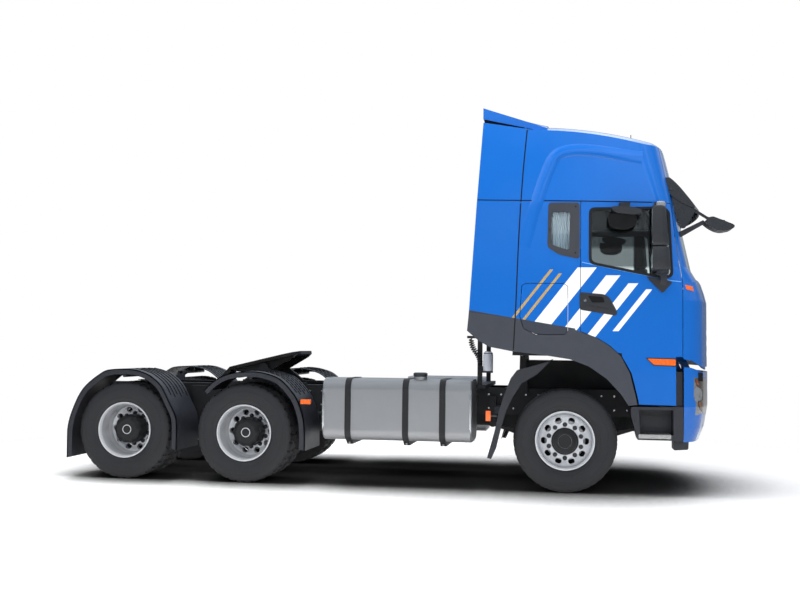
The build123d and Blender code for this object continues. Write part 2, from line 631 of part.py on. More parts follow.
# Front panel: a lid under the windscreen with three air slots, hinged at its top edge.
PANEL_T = 20.0
SLOTS = [1420, 1530, 1640]
with BuildPart() as front_panel:
    add(cab_outer)
    add(cab_block(PANEL_T), mode=Mode.SUBTRACT)
    with BuildSketch(cross(1200)):
        with Locations((0, (PANEL_BOTTOM + PANEL_TOP) / 2)):
            Rectangle(2 * FRONT_SPLIT_Y - GAP, PANEL_TOP - PANEL_BOTTOM)
    extrude(amount=500, mode=Mode.INTERSECT)
    for slot_z in SLOTS:
        with BuildSketch(cross(1200)):
            with Locations((0, slot_z)):
                RectangleRounded(1280, 56, 20)
        extrude(amount=500, mode=Mode.SUBTRACT)
front_panel.part.label = "front_panel"
export_step(front_panel.part, "parts/front_panel.step")

# Wheel-arch trims: satin side skirts from the back of the cab down to the foot of the door.
with BuildPart() as cab_trims:
    for hand in (-1, 1):
        with BuildSketch(side(hand * (HALF_WIDTH - WALL))):
            Polygon(*TRIM, align=None)
        extrude(amount=-hand * WALL)
        add(side_cut(grown(LOCKER_OUTLINE, GAP / 2), INNER_Y, hand), mode=Mode.SUBTRACT)
cab_trims.part.label = "cab_trims"
export_step(cab_trims.part, "parts/cab_trims.step")

# Doors: the skin inside each door's outline, its window cut, with the blue panel that covers the upper step.
EXTENSION = [(727, 912), (1084, 908), (1084, SILL_Z + 3), (560, SILL_Z + 3), (655, 1222), (711, 996)]
HANDLE_RECESS = [(175, 1994), (400, 1986), (490, 1830), (175, 1868)]
with BuildPart() as door_right:
    add(cab_skin.part)
    add(side_cut(grown(DOOR_OUTLINE, -GAP / 2), INNER_Y, -1), mode=Mode.INTERSECT)
    with BuildSketch(side(-(HALF_WIDTH - 30))):
        Polygon(*EXTENSION, align=None)
    extrude(amount=30)
    add(side_cut(grown(TRIM, GAP), INNER_Y, -1), mode=Mode.SUBTRACT)
    add(side_cut(grown(DOOR_WINDOW, 0.0), INNER_Y, -1), mode=Mode.SUBTRACT)
    with BuildSketch(side(-(HALF_WIDTH - 22))):
        Polygon(*HANDLE_RECESS, align=None)
    extrude(amount=40, mode=Mode.SUBTRACT)
door_right.part.label = "door_right"
export_step(door_right.part, "parts/door_right.step")
with BuildPart() as door_left:
    mirror(door_right.part, about=Plane.XZ)
door_left.part.label = "door_left"
export_step(door_left.part, "parts/door_left.step")

with BuildPart() as door_glass_right:
    add(glass_skin.part)
    add(side_cut(grown(DOOR_WINDOW, 0.0), INNER_Y, -1), mode=Mode.INTERSECT)
door_glass_right.part.label = "door_glass_right"
export_step(door_glass_right.part, "parts/door_glass_right.step")
with BuildPart() as door_glass_left:
    mirror(door_glass_right.part, about=Plane.XZ)
door_glass_left.part.label = "door_glass_left"
export_step(door_glass_left.part, "parts/door_glass_left.step")

# Locker doors: outside hatches behind the doors, hinged at the top.
with BuildPart() as locker_right:
    with BuildSketch(side(-(HALF_WIDTH - WALL))):
        add(grown(LOCKER_OUTLINE, -GAP / 2))
    extrude(amount=WALL)
locker_right.part.label = "locker_right"
export_step(locker_right.part, "parts/locker_right.step")
with BuildPart() as locker_left:
    mirror(locker_right.part, about=Plane.XZ)
locker_left.part.label = "locker_left"
export_step(locker_left.part, "parts/locker_left.step")

# Side deflectors: the cab's side carried back past its rear wall.
DEFLECTOR_T = 24.0
with BuildPart() as side_deflectors:
    add(cab_block(0, 700, domed=False))
    add(cab_block(DEFLECTOR_T, 740, domed=False), mode=Mode.SUBTRACT)
    with BuildSketch(side(-HALF_WIDTH - 60)):
        Polygon((-300, 3707), (-300, 1738), (-498, 1763), (-978, 1820), (-850, 3803), (-401, 3726), align=None)
    extrude(amount=-2 * (HALF_WIDTH + 60), mode=Mode.INTERSECT)
    with BuildSketch(level(1200)):
        Rectangle(4000, 2 * 1000)
    extrude(amount=3000, mode=Mode.SUBTRACT)
    add(cab_outer, mode=Mode.SUBTRACT)
side_deflectors.part.label = "side_deflectors"
export_step(side_deflectors.part, "parts/side_deflectors.step")

# Roof spoiler: rises from the roof's crown to a nearly level rear edge.
with BuildPart() as roof_spoiler:
    with BuildSketch(cross(-190)):
        with BuildLine():
            ThreePointArc((-1095, 3744), (0, 3915), (1095, 3744))
            Line((1095, 3744), (1095, 3700))
            ThreePointArc((1095, 3700), (0, 3870), (-1095, 3700))
            Line((-1095, 3700), (-1095, 3744))
        make_face()
    with BuildSketch(cross(-856)):
        with BuildLine():
            ThreePointArc((-1110, 3966), (0, 3985), (1110, 3966))
            Line((1110, 3966), (1110, 3850))
            ThreePointArc((1110, 3850), (0, 3865), (-1110, 3850))
            Line((-1110, 3850), (-1110, 3966))
        make_face()
    loft(ruled=True)
    add(cab_outer, mode=Mode.SUBTRACT)
    add(side_deflectors.part, mode=Mode.SUBTRACT)
roof_spoiler.part.label = "roof_spoiler"
export_step(roof_spoiler.part, "parts/roof_spoiler.step")

# Sun visor: a smoked blade bent to the front's crown across the top of the windscreen, closed at its ends.
VISOR_HALF = 1085.0
VISOR_AXIS_X = 1430.0 - CROWN
VISOR_SWEEP = degrees(asin(VISOR_HALF / CROWN))
with BuildPart() as sun_visor:
    with BuildSketch(Plane(origin=(AXLE_X + VISOR_AXIS_X, 0, 0), z_dir=(-sin(radians(VISOR_SWEEP)),
                                                                       -cos(radians(VISOR_SWEEP)), 0),
                           x_dir=(cos(radians(VISOR_SWEEP)), -sin(radians(VISOR_SWEEP)), 0))):
        with Locations((-VISOR_AXIS_X, 0)):
            Polygon((1091, 3213), (1228, 3202), (1388, 2964), (1430, 2895), (1412, 2890), (1212, 3182),
                    (1091, 3193), align=None)
    revolve(axis=Axis((AXLE_X + VISOR_AXIS_X, 0, 0), (0, 0, 1)), revolution_arc=2 * VISOR_SWEEP)
    for hand in (-1, 1):
        with BuildSketch(side(hand * (VISOR_HALF - 16))):
            Polygon((951, 3213), (1088, 3202), (1248, 2964), (1290, 2895), (1069, 2996), (960, 3040), align=None)
        extrude(amount=-hand * 16)
    add(cab_outer, mode=Mode.SUBTRACT)
sun_visor.part.label = "sun_visor"
export_step(sun_visor.part, "parts/sun_visor.step")

SEAT_Y = 560.0
WHEEL_RIM_R = 225.0
STEER_X = 800.0
STEER_Z = 2120.0
STEER_RAKE = 55.0
steer_plane = Plane(origin=(AXLE_X + STEER_X, SEAT_Y, STEER_Z), x_dir=(0, 1, 0),
                    z_dir=(-cos(radians(STEER_RAKE)), 0, sin(radians(STEER_RAKE))))
# Dashboard: from the bulkhead back over the drivers' knees.
with BuildPart() as dashboard:
    with BuildSketch(side(-(HALF_WIDTH - WALL - 40))):
        Polygon((1160, 1700), (1160, 2060), (1000, 2090), (860, 2030), (830, 1900), (900, 1760), (1040, 1700),
                align=None)
    extrude(amount=-2 * (HALF_WIDTH - WALL - 40))
    # Steering column, up to just below the wheel.
    with BuildSketch(steer_plane.offset(-20)):
        Circle(38)
    extrude(amount=-190)
dashboard.part.label = "dashboard"
export_step(dashboard.part, "parts/dashboard.step")

# Seats and the bunk behind them.
with BuildPart() as seats:
    for hand in (-1, 1):
        with BuildSketch(side(hand * SEAT_Y - 240)):
            Polygon((210, SILL_Z + 37), (270, 1680), (210, 1720), (710, 1760), (730, 1890), (330, 1860),
                    (210, 2520), (90, 2510), (130, 1760), (130, SILL_Z + 37), align=None)
        extrude(amount=-480)
with BuildPart() as bunk:
    add(cab_inner)
    with BuildSketch(side(-HALF_WIDTH)):
        with Locations((-220, 2195)):
            Rectangle(560, 130)
    extrude(amount=-2 * HALF_WIDTH, mode=Mode.INTERSECT)
    add(seats.part)
bunk.part.label = "seats"
export_step(bunk.part, "parts/seats.step")

# Steering wheel: a raked rim on a spoked hub, on the left.
with BuildPart() as steering_wheel:
    with BuildSketch(steer_plane.offset(-12)):
        Circle(WHEEL_RIM_R)
        Circle(WHEEL_RIM_R - 30, mode=Mode.SUBTRACT)
        Circle(60)
        for turn in (0, 120, 240):
            with Locations(Rotation(0, 0, turn - 90)):
                with Locations((WHEEL_RIM_R / 2, 0)):
                    Rectangle(WHEEL_RIM_R - 40, 34)
    extrude(amount=26)
steering_wheel.part.label = "steering_wheel"
export_step(steering_wheel.part, "parts/steering_wheel.step")

# Mirrors on the doors: a tall head over a wide-angle head on two arms, and the kerb mirror above the window.
MIRROR_IN_Y = 1300.0
MIRROR_OUT_Y = 1490.0
with BuildPart() as mirrors_right:
    with BuildSketch(side(-MIRROR_IN_Y)):
        Polygon((800, 2260), (860, 2205), (985, 2199), (1012, 2300), (1015, 2830), (985, 2912), (860, 2918),
                (800, 2880), align=None)
    extrude(amount=MIRROR_OUT_Y - MIRROR_IN_Y)
    for low, high in ((2225, 2450), (2470, 2895)):
        with BuildSketch(cross(780)):
            with Locations((-(MIRROR_IN_Y + MIRROR_OUT_Y) / 2, (low + high) / 2)):
                RectangleRounded(MIRROR_OUT_Y - MIRROR_IN_Y - 24, high - low, 24)
        extrude(amount=40)
    # Upper arm from the door's frame, and lower arm from a base on the door's skin.
    with BuildSketch(side(-HALF_WIDTH + 10)):
        with Locations((930, 2890)):
            Circle(18)
    extrude(amount=MIRROR_IN_Y - HALF_WIDTH + 20)
    with BuildSketch(side(-HALF_WIDTH + 10)):
        Polygon((792, 2178), (1047, 2123), (959, 2018), align=None)
    extrude(amount=34)
    with BuildSketch(cross(915)):
        Polygon((-HALF_WIDTH - 12, 2150), (-1370, 2260), (-1400, 2245), (-1400, 2215), (-HALF_WIDTH - 12, 2100),
                align=None)
    extrude(amount=34)
    # Kerb mirror: a hood over the door's window.
    with BuildSketch(cross(420)):
        Polygon((-HALF_WIDTH + 10, 2930), (-1340, 2905), (-1440, 2850), (-1462, 2700), (-1350, 2662), (-1320, 2790),
                (-HALF_WIDTH + 10, 2876), align=None)
    extrude(amount=290)
    add(cab_outer, mode=Mode.SUBTRACT)
mirrors_right.part.label = "mirrors_right"
export_step(mirrors_right.part, "parts/mirrors_right.step")
with BuildPart() as mirrors_left:
    mirror(mirrors_right.part, about=Plane.XZ)
mirrors_left.part.label = "mirrors_left"
export_step(mirrors_left.part, "parts/mirrors_left.step")

# Front mirror: on two arms ahead of the windscreen's right top corner.
FRONT_MIRROR_Y = 1010.0
with BuildPart() as front_mirror:
    with BuildSketch(side(-FRONT_MIRROR_Y + 110)):
        Polygon((1385, 2770), (1600, 2762), (1669, 2703), (1640, 2668), (1523, 2658), (1385, 2735), align=None)
    extrude(amount=220)
    with BuildSketch(side(-FRONT_MIRROR_Y + 11)):
        Polygon((1140, 2925), (1197, 2925), (1582, 2755), (1560, 2735), (1180, 2905), (1140, 2905), align=None)
        Polygon((1080, 2632), (1115, 2632), (1410, 2770), (1425, 2755), (1120, 2610), (1080, 2610), align=None)
    extrude(amount=22)
    add(cab_outer, mode=Mode.SUBTRACT)
front_mirror.part.label = "front_mirror"
export_step(front_mirror.part, "parts/front_mirror.step")

# ---- Bumper, headlamps and steps: carried by the frame below the tilting cab ----
BUMPER_BACK = 1160.0
BUMPER_WALL = 40.0
# Columns: height, nose at the middle, half width, corner radius.
BUMPER_SECTIONS = [
    (545, 1425, 1215, 260),
    (680, 1478, 1240, 262),
    (895, 1511, CAB_HALF, 262),
    (1300, 1511, CAB_HALF, 262),
]
BUMPER_SIDE = [(BUMPER_BACK, 400), (BUMPER_BACK, 1290), (1232, 1284), (1372, 1235), (1700, 1235), (1700, 400)]
LAMP = [(1208, 1188), (900, 1150), (850, 1080), (872, 940), (980, 850), (1186, 814), (1196, 951), (1208, 990)]


def bumper_block(inset, longer):
    """The bumper's envelope moved inwards by inset, its back moved back by longer."""
    with BuildPart() as block:
        for height, nose, half, corner in BUMPER_SECTIONS:
            with BuildSketch(level(height)):
                with BuildLine():
                    add(cab_section(nose, half, corner, 700 - longer, inset))
                make_face()
        loft(ruled=True)
    return block.part


with BuildPart() as bumper_skin:
    add(bumper_block(0, 0))
    add(bumper_block(BUMPER_WALL, 200), mode=Mode.SUBTRACT)
    with BuildSketch(side(-HALF_WIDTH - 60)):
        Polygon(*BUMPER_SIDE, align=None)
    extrude(amount=-2 * (HALF_WIDTH + 60), mode=Mode.INTERSECT)
with BuildPart() as lamp_block:
    for hand in (-1, 1):
        with BuildSketch(cross(1100)):
            Polygon(*[(hand * y, z) for y, z in LAMP], align=None)
        extrude(amount=500)
with BuildPart() as bumper:
    add(bumper_skin.part)
    add(lamp_block.part, mode=Mode.SUBTRACT)
    with BuildSketch(cross(1200)):
        with Locations((0, 720)):
            RectangleRounded(1360, 150, 30)
        with Locations((0, 1075)):
            RectangleRounded(1240, 90, 30)
    extrude(amount=500, mode=Mode.SUBTRACT)
    # Brackets on the rails' front ends.
    for hand in (-1, 1):
        with BuildSketch(cross(RAIL_FRONT)):
            with Locations((hand * (RAIL_Y - RAIL_FLANGE / 2), 900)):
                Rectangle(RAIL_FLANGE, 200)
        extrude(amount=141)
bumper.part.label = "bumper"
export_step(bumper.part, "parts/bumper.step")
with BuildPart() as headlamps:
    add(bumper_skin.part)
    add(lamp_block.part, mode=Mode.INTERSECT)
headlamps.part.label = "headlamps"
export_step(headlamps.part, "parts/headlamps.step")

STEP_IN_Y = 960.0
STEP_OUTLINE = [(650, 800), (716, 561), (BUMPER_BACK - GAP, 561), (BUMPER_BACK - GAP, 894), (650, 886)]
with BuildPart() as step_boxes:
    for hand in (-1, 1):
        with BuildSketch(side(hand * STEP_IN_Y)):
            Polygon(*STEP_OUTLINE, align=None)
        extrude(amount=-hand * (1240 - STEP_IN_Y))
        # Foot space over the tread.
        with BuildSketch(side(hand * (STEP_IN_Y + 60))):
            Polygon((724, 860), (740, 614), (1060, 614), (1060, 860), align=None)
        extrude(amount=-hand * 300, mode=Mode.SUBTRACT)
        # Upright inner strip beside the bumper, and the arm back to the rail.
        with BuildSketch(side(hand * 1150)):
            Polygon((1075, 890), (BUMPER_BACK - GAP, 890), (BUMPER_BACK - GAP, 1240), (1075, 1240), align=None)
        extrude(amount=-hand * 25)
        with BuildSketch(side(hand * RAIL_Y)):
            with Locations((1100, 760)):
                Rectangle(90, 90)
        extrude(amount=-hand * (STEP_IN_Y - RAIL_Y))
step_boxes.part.label = "step_boxes"
export_step(step_boxes.part, "parts/step_boxes.step")

# ---- Guards: a quarter fender behind each steered wheel, an arch over each pair of twins ----
FENDER_OUT = [(-150, 1329), (-484, 1234), (-546, 1151), (-617, 968), (-662, 821), (-706, 612), (-782, 338)]
FENDER_IN = [(-740, 330), (-690, 440), (-651, 613), (-590, 823), (-530, 951), (-440, 1098), (-284, 1192)]
with BuildPart() as front_fenders:
    for hand in (-1, 1):
        with BuildSketch(side(hand * 900)):
            Polygon(*FENDER_OUT, *[(x - 34, z + 30) for x, z in FENDER_IN[1:]], (-190, 1290), align=None)
        extrude(amount=-hand * 320)
        with BuildSketch(side(hand * 1190)):
            Polygon(*FENDER_OUT, *FENDER_IN, align=None)
        extrude(amount=-hand * 50)
        with BuildSketch(side(hand * RAIL_Y)):
            with Locations((-700, 800)):
                Rectangle(60, 60)
        extrude(amount=-hand * 520)
front_fenders.part.label = "front_fenders"
export_step(front_fenders.part, "parts/front_fenders.step")

GUARD_IN_Y = 615.0
GUARD_T = 12.0
LIP = 45.0


def guard(axle_x, points, hand):
    """An arch over twin tyres: a sheet with a lip on its outer side. points: front foot, arcs and rear foot."""
    with BuildPart() as arch:
        for inset, start, deep in ((GUARD_T, GUARD_IN_Y, HALF_WIDTH - GUARD_IN_Y), (LIP, HALF_WIDTH - GUARD_T, GUARD_T)):
            with BuildSketch(side(hand * start)):
                with BuildLine():
                    Polyline(*[(axle_x + x, TYRE_R + z) for x, z in points])
                    scale_in = [(axle_x + x * (1 - inset / 660), TYRE_R + z * (1 - inset / 660)) for x, z in points]
                    Polyline(*scale_in)
                    Line((axle_x + points[0][0], TYRE_R + points[0][1]), scale_in[0])
                    Line((axle_x + points[-1][0], TYRE_R + points[-1][1]), scale_in[-1])
                make_face()
            extrude(amount=-hand * deep)
    return arch.part


# Arch points from each axle, X ahead and Z up: rear foot first.
REAR_ARCH = [(-646, -316), (-646, -9), (-592, 211), (-474, 442), (-278, 607), (-150, 655), (90, 659), (230, 625),
             (320, 580), (430, 480), (531, 296), (600, 154), (614, -3), (614, -203)]
MID_ARCH = [(-440, 446), (-355, 530), (-261, 592), (-177, 624), (-49, 649), (142, 655), (289, 626), (394, 572),
            (490, 474), (565, 355), (620, 185), (654, 36), (677, -153), (700, -330)]
POST_X = [(MID_X, 60), (REAR_X, -20)]
with BuildPart() as mudguards:
    for hand in (-1, 1):
        add(guard(REAR_X, REAR_ARCH, hand))
        add(guard(MID_X, MID_ARCH, hand))
        # Tubes that carry the arches, on posts from the rails.
        for axle_x, shift in POST_X:
            with BuildSketch(level(880)):
                with Locations((axle_x + shift, hand * (RAIL_Y + 15))):
                    Rectangle(90, 30)
            extrude(amount=250)
            with BuildSketch(side(hand * RAIL_Y)):
                with Locations((axle_x + shift, 1112)):
                    Circle(18)
            extrude(amount=-hand * 780)
            with BuildSketch(side(hand * 800)):
                with Locations((axle_x + shift, 1145)):
                    Rectangle(40, 66)
            extrude(amount=-hand * 40)
mudguards.part.label = "mudguards"
export_step(mudguards.part, "parts/mudguards.step")

# ---- Fuel tank on the right, exhaust box and battery box on the left ----
TANK_IN_Y = 600.0
TANK_OUT_Y = 1238.0
TANK_LOW = 480.0
TANK_HIGH = 1120.0
TANK_BACK = -2510.0
TANK_FRONT = -945.0
STRAP_W = 64.0
STRAP_T = 6.0
STRAPS = [-2238, -1629, -1244]
tank_middle = (-(TANK_IN_Y + TANK_OUT_Y) / 2, (TANK_LOW + TANK_HIGH) / 2)
with BuildPart() as fuel_tank:
    with BuildSketch(cross(TANK_BACK)):
        with Locations(tank_middle):
            RectangleRounded(TANK_OUT_Y - TANK_IN_Y, TANK_HIGH - TANK_LOW, 110)
    extrude(amount=TANK_FRONT - TANK_BACK)
    chamfer(fuel_tank.faces().filter_by(Axis.X).edges(), 12)
    with BuildSketch(level(TANK_HIGH - 20)):
        with Locations((-1495, -1090)):
            Circle(70)
    extrude(amount=50)
fuel_tank.part.label = "fuel_tank"
export_step(fuel_tank.part, "parts/fuel_tank.step")

with BuildPart() as tank_straps:
    for strap_x in STRAPS:
        with BuildSketch(cross(strap_x - STRAP_W / 2)):
            with Locations(tank_middle):
                RectangleRounded(TANK_OUT_Y - TANK_IN_Y + 2 * STRAP_T, TANK_HIGH - TANK_LOW + 2 * STRAP_T, 110 + STRAP_T)
                RectangleRounded(TANK_OUT_Y - TANK_IN_Y, TANK_HIGH - TANK_LOW, 110, mode=Mode.SUBTRACT)
            # Bracket from the rail, under the tank.
            Polygon((-RAIL_Y, 990), (-RAIL_Y, 740), (-RAIL_Y - 60, 430), (-1100, 430), (-1150, TANK_LOW - STRAP_T),
                    (-TANK_IN_Y - 90, TANK_LOW - STRAP_T), (-TANK_IN_Y + STRAP_T, TANK_LOW + 90),
                    (-TANK_IN_Y + STRAP_T, 990), align=None)
        extrude(amount=STRAP_W)
    add(fuel_tank.part, mode=Mode.SUBTRACT)
tank_straps.part.label = "tank_straps"
export_step(tank_straps.part, "parts/tank_straps.step")

# Columns: name, back, front, low, high, corner.
with BuildPart() as exhaust_box:
    with BuildSketch(cross(-1900)):
        with Locations((920, 780)):
            RectangleRounded(640, 640, 60)
    extrude(amount=955)
    with BuildSketch(side(RAIL_Y)):
        with Locations((-1700, 880), (-1150, 880)):
            Rectangle(70, 200)
    extrude(amount=-(600 - RAIL_Y) - 10)
exhaust_box.part.label = "exhaust_box"
export_step(exhaust_box.part, "parts/exhaust_box.step")

with BuildPart() as battery_box:
    with BuildSketch(cross(-2510)):
        with Locations((920, 800)):
            RectangleRounded(640, 520, 30)
    extrude(amount=570)
    with BuildSketch(side(RAIL_Y)):
        with Locations((-2400, 880), (-2050, 880)):
            Rectangle(70, 200)
    extrude(amount=-(600 - RAIL_Y) - 10)
battery_box.part.label = "battery_box"
export_step(battery_box.part, "parts/battery_box.step")

# Air tanks hung from the rails, and the dryer's canister on the stand behind the cab.
with BuildPart() as air_tanks:
    for hand in (-1, 1):
        with BuildSketch(cross(-2800)):
            with Locations((hand * 265, 600)):
                Circle(110)
        extrude(amount=620)
        for hanger_x in (-2700, -2320):
            with BuildSketch(level(640)):
                with Locations((hanger_x, hand * 365)):
                    Rectangle(40, 34)
            extrude(amount=RAIL_TOP - RAIL_HEIGHT - 640)
    with BuildSketch(level(1211)):
        with Locations((-819, -700)):
            Circle(49)
    extrude(amount=195)
    with BuildSketch(level(1406)):
        with Locations((-819, -700)):
            Circle(36)
    extrude(amount=14)
air_tanks.part.label = "air_tanks"
export_step(air_tanks.part, "parts/air_tanks.step")

# ---- Deck and hose stand behind the cab ----
DECK_T = 12.0
HOSE_R = 32.0
HOSE_Y = -660.0
# The hose's route in its upright plane, from the upper coupling to the lower.
HOSE_ROUTE = [(-1008, 1560), (-1008, 1475), (-905, 1347), (-905, 1262)]
HOSE_BEND_R = 236.0
STAND_X = -915.0
STAND_Y = 600.0
with BuildPart() as catwalk:
    with BuildSketch(level(RAIL_TOP)):
        with Locations((-1800, 0)):
            Rectangle(1340, 2 * RAIL_Y)
    extrude(amount=DECK_T)
    with BuildSketch(level(RAIL_TOP)):
        with Locations((STAND_X + 25, 0)):
            Rectangle(100, 1500)
    extrude(amount=40)
    for hand in (-1, 1):
        with BuildSketch(level(RAIL_TOP)):
            with Locations((STAND_X, hand * STAND_Y)):
                Rectangle(50, 50)
        extrude(amount=600)
    with BuildSketch(side(-STAND_Y)):
        with Locations((STAND_X, RAIL_TOP + 600)):
            Circle(25)
    extrude(amount=-2 * STAND_Y)
    # Arm at the stand's head that holds the hose's upper coupling.
    with BuildSketch(level(HOSE_ROUTE[0][1])):
        Polygon((STAND_X + 25, -STAND_Y - 25), (STAND_X + 25, -STAND_Y + 25), (HOSE_ROUTE[0][0] - 40, -STAND_Y + 25),
                (HOSE_ROUTE[0][0] - 40, HOSE_Y - 40), (HOSE_ROUTE[0][0] + 40, HOSE_Y - 40),
                (HOSE_ROUTE[0][0] + 40, -STAND_Y - 25), align=None)
    extrude(amount=26)
    # Shelf and post for the canister.
    with BuildSketch(level(RAIL_TOP)):
        with Locations((-905, -700)):
            Rectangle(40, 60)
    extrude(amount=191)
    with BuildSketch(level(1191)):
        with Locations((-850, -690)):
            Rectangle(158, 110)
    extrude(amount=20)
    with BuildSketch(level(1211)):
        with Locations((HOSE_ROUTE[-1][0], HOSE_Y)):
            Rectangle(56, 56)
    extrude(amount=HOSE_ROUTE[-1][1] - 1211)
catwalk.part.label = "catwalk"
export_step(catwalk.part, "parts/catwalk.step")

# ---- Fifth wheel ----
PLATE_X = -3430.0
PLATE_Z = 1301.0
PLATE_TILT = 13.6
PLATE_T = 36.0
PIVOT_DROP = 95.0
PIVOT_R = 25.0
KINGPIN_BORE_R = 25.65
KINGPIN_BORE_L = 60.0
tilt = radians(PLATE_TILT)
plate_top = Plane(origin=(AXLE_X + PLATE_X, 0, PLATE_Z), x_dir=(cos(tilt), 0, sin(tilt)),
                  z_dir=(-sin(tilt), 0, cos(tilt)))
plate_side = Plane(origin=(AXLE_X + PLATE_X, 0, PLATE_Z), x_dir=(cos(tilt), 0, sin(tilt)), z_dir=(0, -1, 0))
PIVOT_X = PLATE_X + PIVOT_DROP * sin(tilt)
PIVOT_Z = PLATE_Z - PIVOT_DROP * cos(tilt)
PLATE_HALF = [(418, 0), (418, 250), (360, 400), (250, 445), (-300, 445), (-400, 420), (-400, 200), (-120, 75),
              (-90, 0)]
with BuildPart() as fifth_wheel_plate:
    with BuildSketch(plate_top):
        Polygon(*PLATE_HALF, align=None)
        mirror(about=Plane.XZ)
    extrude(amount=-PLATE_T)
    with BuildSketch(plate_top):
        Circle(110)
    extrude(amount=-KINGPIN_BORE_L)
    # Ramps down to the rear tips, stiffening ribs and the lugs of the pivot.
    for hand in (-1, 1):
        with BuildSketch(plate_side.offset(-hand * 200)):
            Polygon((-398, 0), (-535, -95), (-535, -118), (-398, -60), align=None)
        extrude(amount=-hand * 220)
        with BuildSketch(plate_side.offset(-hand * 300)):
            Polygon((-380, -PLATE_T + 1), (380, -PLATE_T + 1), (340, -60), (80, -PIVOT_DROP - 45),
                    (-80, -PIVOT_DROP - 45), (-340, -70), align=None)
        extrude(amount=-hand * 69)
    with BuildSketch(plate_side.offset(-500)):
        with Locations((0, -PIVOT_DROP)):
            Circle(PIVOT_R + RUN)
    extrude(amount=1000, mode=Mode.SUBTRACT)
    with BuildSketch(plate_top):
        Circle(KINGPIN_BORE_R)
    extrude(amount=-KINGPIN_BORE_L, mode=Mode.SUBTRACT)
fifth_wheel_plate.part.label = "fifth_wheel_plate"
export_step(fifth_wheel_plate.part, "parts/fifth_wheel_plate.step")

with BuildPart() as fifth_wheel_base:
    for hand in (-1, 1):
        with BuildSketch(level(RAIL_TOP)):
            with Locations((PIVOT_X, hand * (RAIL_Y - RAIL_FLANGE / 2))):
                Rectangle(1000, RAIL_FLANGE)
        extrude(amount=20)
        with BuildSketch(side(hand * (RAIL_Y - 50))):
            Polygon((PIVOT_X - 260, RAIL_TOP + 19), (PIVOT_X + 260, RAIL_TOP + 19), (PIVOT_X + 48, PIVOT_Z),
                    (PIVOT_X - 48, PIVOT_Z), align=None)
            with Locations((PIVOT_X, PIVOT_Z)):
                Circle(50)
        extrude(amount=-hand * 50)
        with BuildSketch(side(hand * 290)):
            with Locations((PIVOT_X, PIVOT_Z)):
                Circle(PIVOT_R)
        extrude(amount=-hand * (RAIL_Y - 290))
fifth_wheel_base.part.label = "fifth_wheel_base"
export_step(fifth_wheel_base.part, "parts/fifth_wheel_base.step")

# ---- Cab mounts: a cheek with a pin on each rail's front end, and a portal under the cab's back ----
with BuildPart() as cab_mounts:
    for hand in (-1, 1):
        with BuildSketch(side(hand * RAIL_Y)):
            Polygon((1180, 960), (RAIL_FRONT, 960), (TILT_X + 50, TILT_Z), (TILT_X + 30, TILT_Z + 50),
                    (TILT_X - 40, TILT_Z + 50), (TILT_X - 60, TILT_Z), align=None)
        extrude(amount=-hand * CHEEK_T)
        with BuildSketch(side(hand * (RAIL_Y + CHEEK_T))):
            with Locations((TILT_X, TILT_Z)):
                Circle(TILT_PIN_R)
        extrude(amount=-hand * (LUG_T + 2 * GAP))
        with BuildSketch(side(hand * RAIL_Y)):
            Polygon((-500, 960), (-400, 960), (-430, SILL_Z - 3 - GAP), (-490, SILL_Z - 3 - GAP), align=None)
        extrude(amount=-hand * 45)
    with BuildSketch(side(-RAIL_Y)):
        with Locations((-460, SILL_Z - 32)):
            Rectangle(44, 40)
    extrude(amount=-2 * RAIL_Y)
cab_mounts.part.label = "cab_mounts"
export_step(cab_mounts.part, "parts/cab_mounts.step")

# ---- Lamps: side markers and tail lamps ----
with BuildPart() as lamps:
    for hand in (-1, 1):
        with BuildSketch(side(hand * 1200)):
            with Locations((-773, 765)):
                Rectangle(50, 102)
            with Locations((-720, 765)):
                Rectangle(70, 20)
        extrude(amount=-hand * 36)
        with BuildSketch(cross(-5360)):
            with Locations((hand * 455, 700)):
                RectangleRounded(260, 140, 20)
        extrude(amount=66)
        with BuildSketch(cross(-5294)):
            with Locations((hand * 385, 780)):
                Rectangle(60, 300)
        extrude(amount=24)
lamps.part.label = "lamps"
export_step(lamps.part, "parts/lamps.step")

# ---- Curly air hose, from the stand's head down to its coupling ----
print("hose radii", [HOSE_BEND_R, HOSE_BEND_R])
with BuildPart() as air_hose:
    with BuildLine(side(HOSE_Y)) as hose_line:
        FilletPolyline(*HOSE_ROUTE, radius=HOSE_BEND_R)
    with BuildSketch(Plane(origin=hose_line.line @ 0, z_dir=hose_line.line % 0)):
        Circle(HOSE_R)
    sweep()
air_hose.part.label = "air_hose"
export_step(air_hose.part, "parts/air_hose.step")
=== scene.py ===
"""A three-axle semi truck tractor unit, finished and fitted out over its measured frame."""
from math import cos, pi, radians, sin

import bmesh
import bpy
from mathutils import Matrix, Vector


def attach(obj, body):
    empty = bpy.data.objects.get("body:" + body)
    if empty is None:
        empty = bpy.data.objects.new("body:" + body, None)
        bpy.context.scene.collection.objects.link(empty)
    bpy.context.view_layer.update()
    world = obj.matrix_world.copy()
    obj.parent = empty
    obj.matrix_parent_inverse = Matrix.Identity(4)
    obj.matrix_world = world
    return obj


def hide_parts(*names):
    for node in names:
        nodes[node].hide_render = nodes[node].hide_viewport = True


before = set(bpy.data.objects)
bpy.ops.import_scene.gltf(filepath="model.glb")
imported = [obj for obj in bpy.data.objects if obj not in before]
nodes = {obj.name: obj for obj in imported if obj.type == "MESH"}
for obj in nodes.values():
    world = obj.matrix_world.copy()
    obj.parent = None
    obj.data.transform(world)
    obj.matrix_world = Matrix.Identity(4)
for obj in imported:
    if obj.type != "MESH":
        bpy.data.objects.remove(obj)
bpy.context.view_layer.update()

# ---- Studio ----
# A wide pale floor, an even pale sky and three large soft lamps. The lens and the place of the
# camera are those of a person who stands level with the cab's side, eleven and a half metres away.
AXLE_X = 1.84
FLOOR_HALF = 60
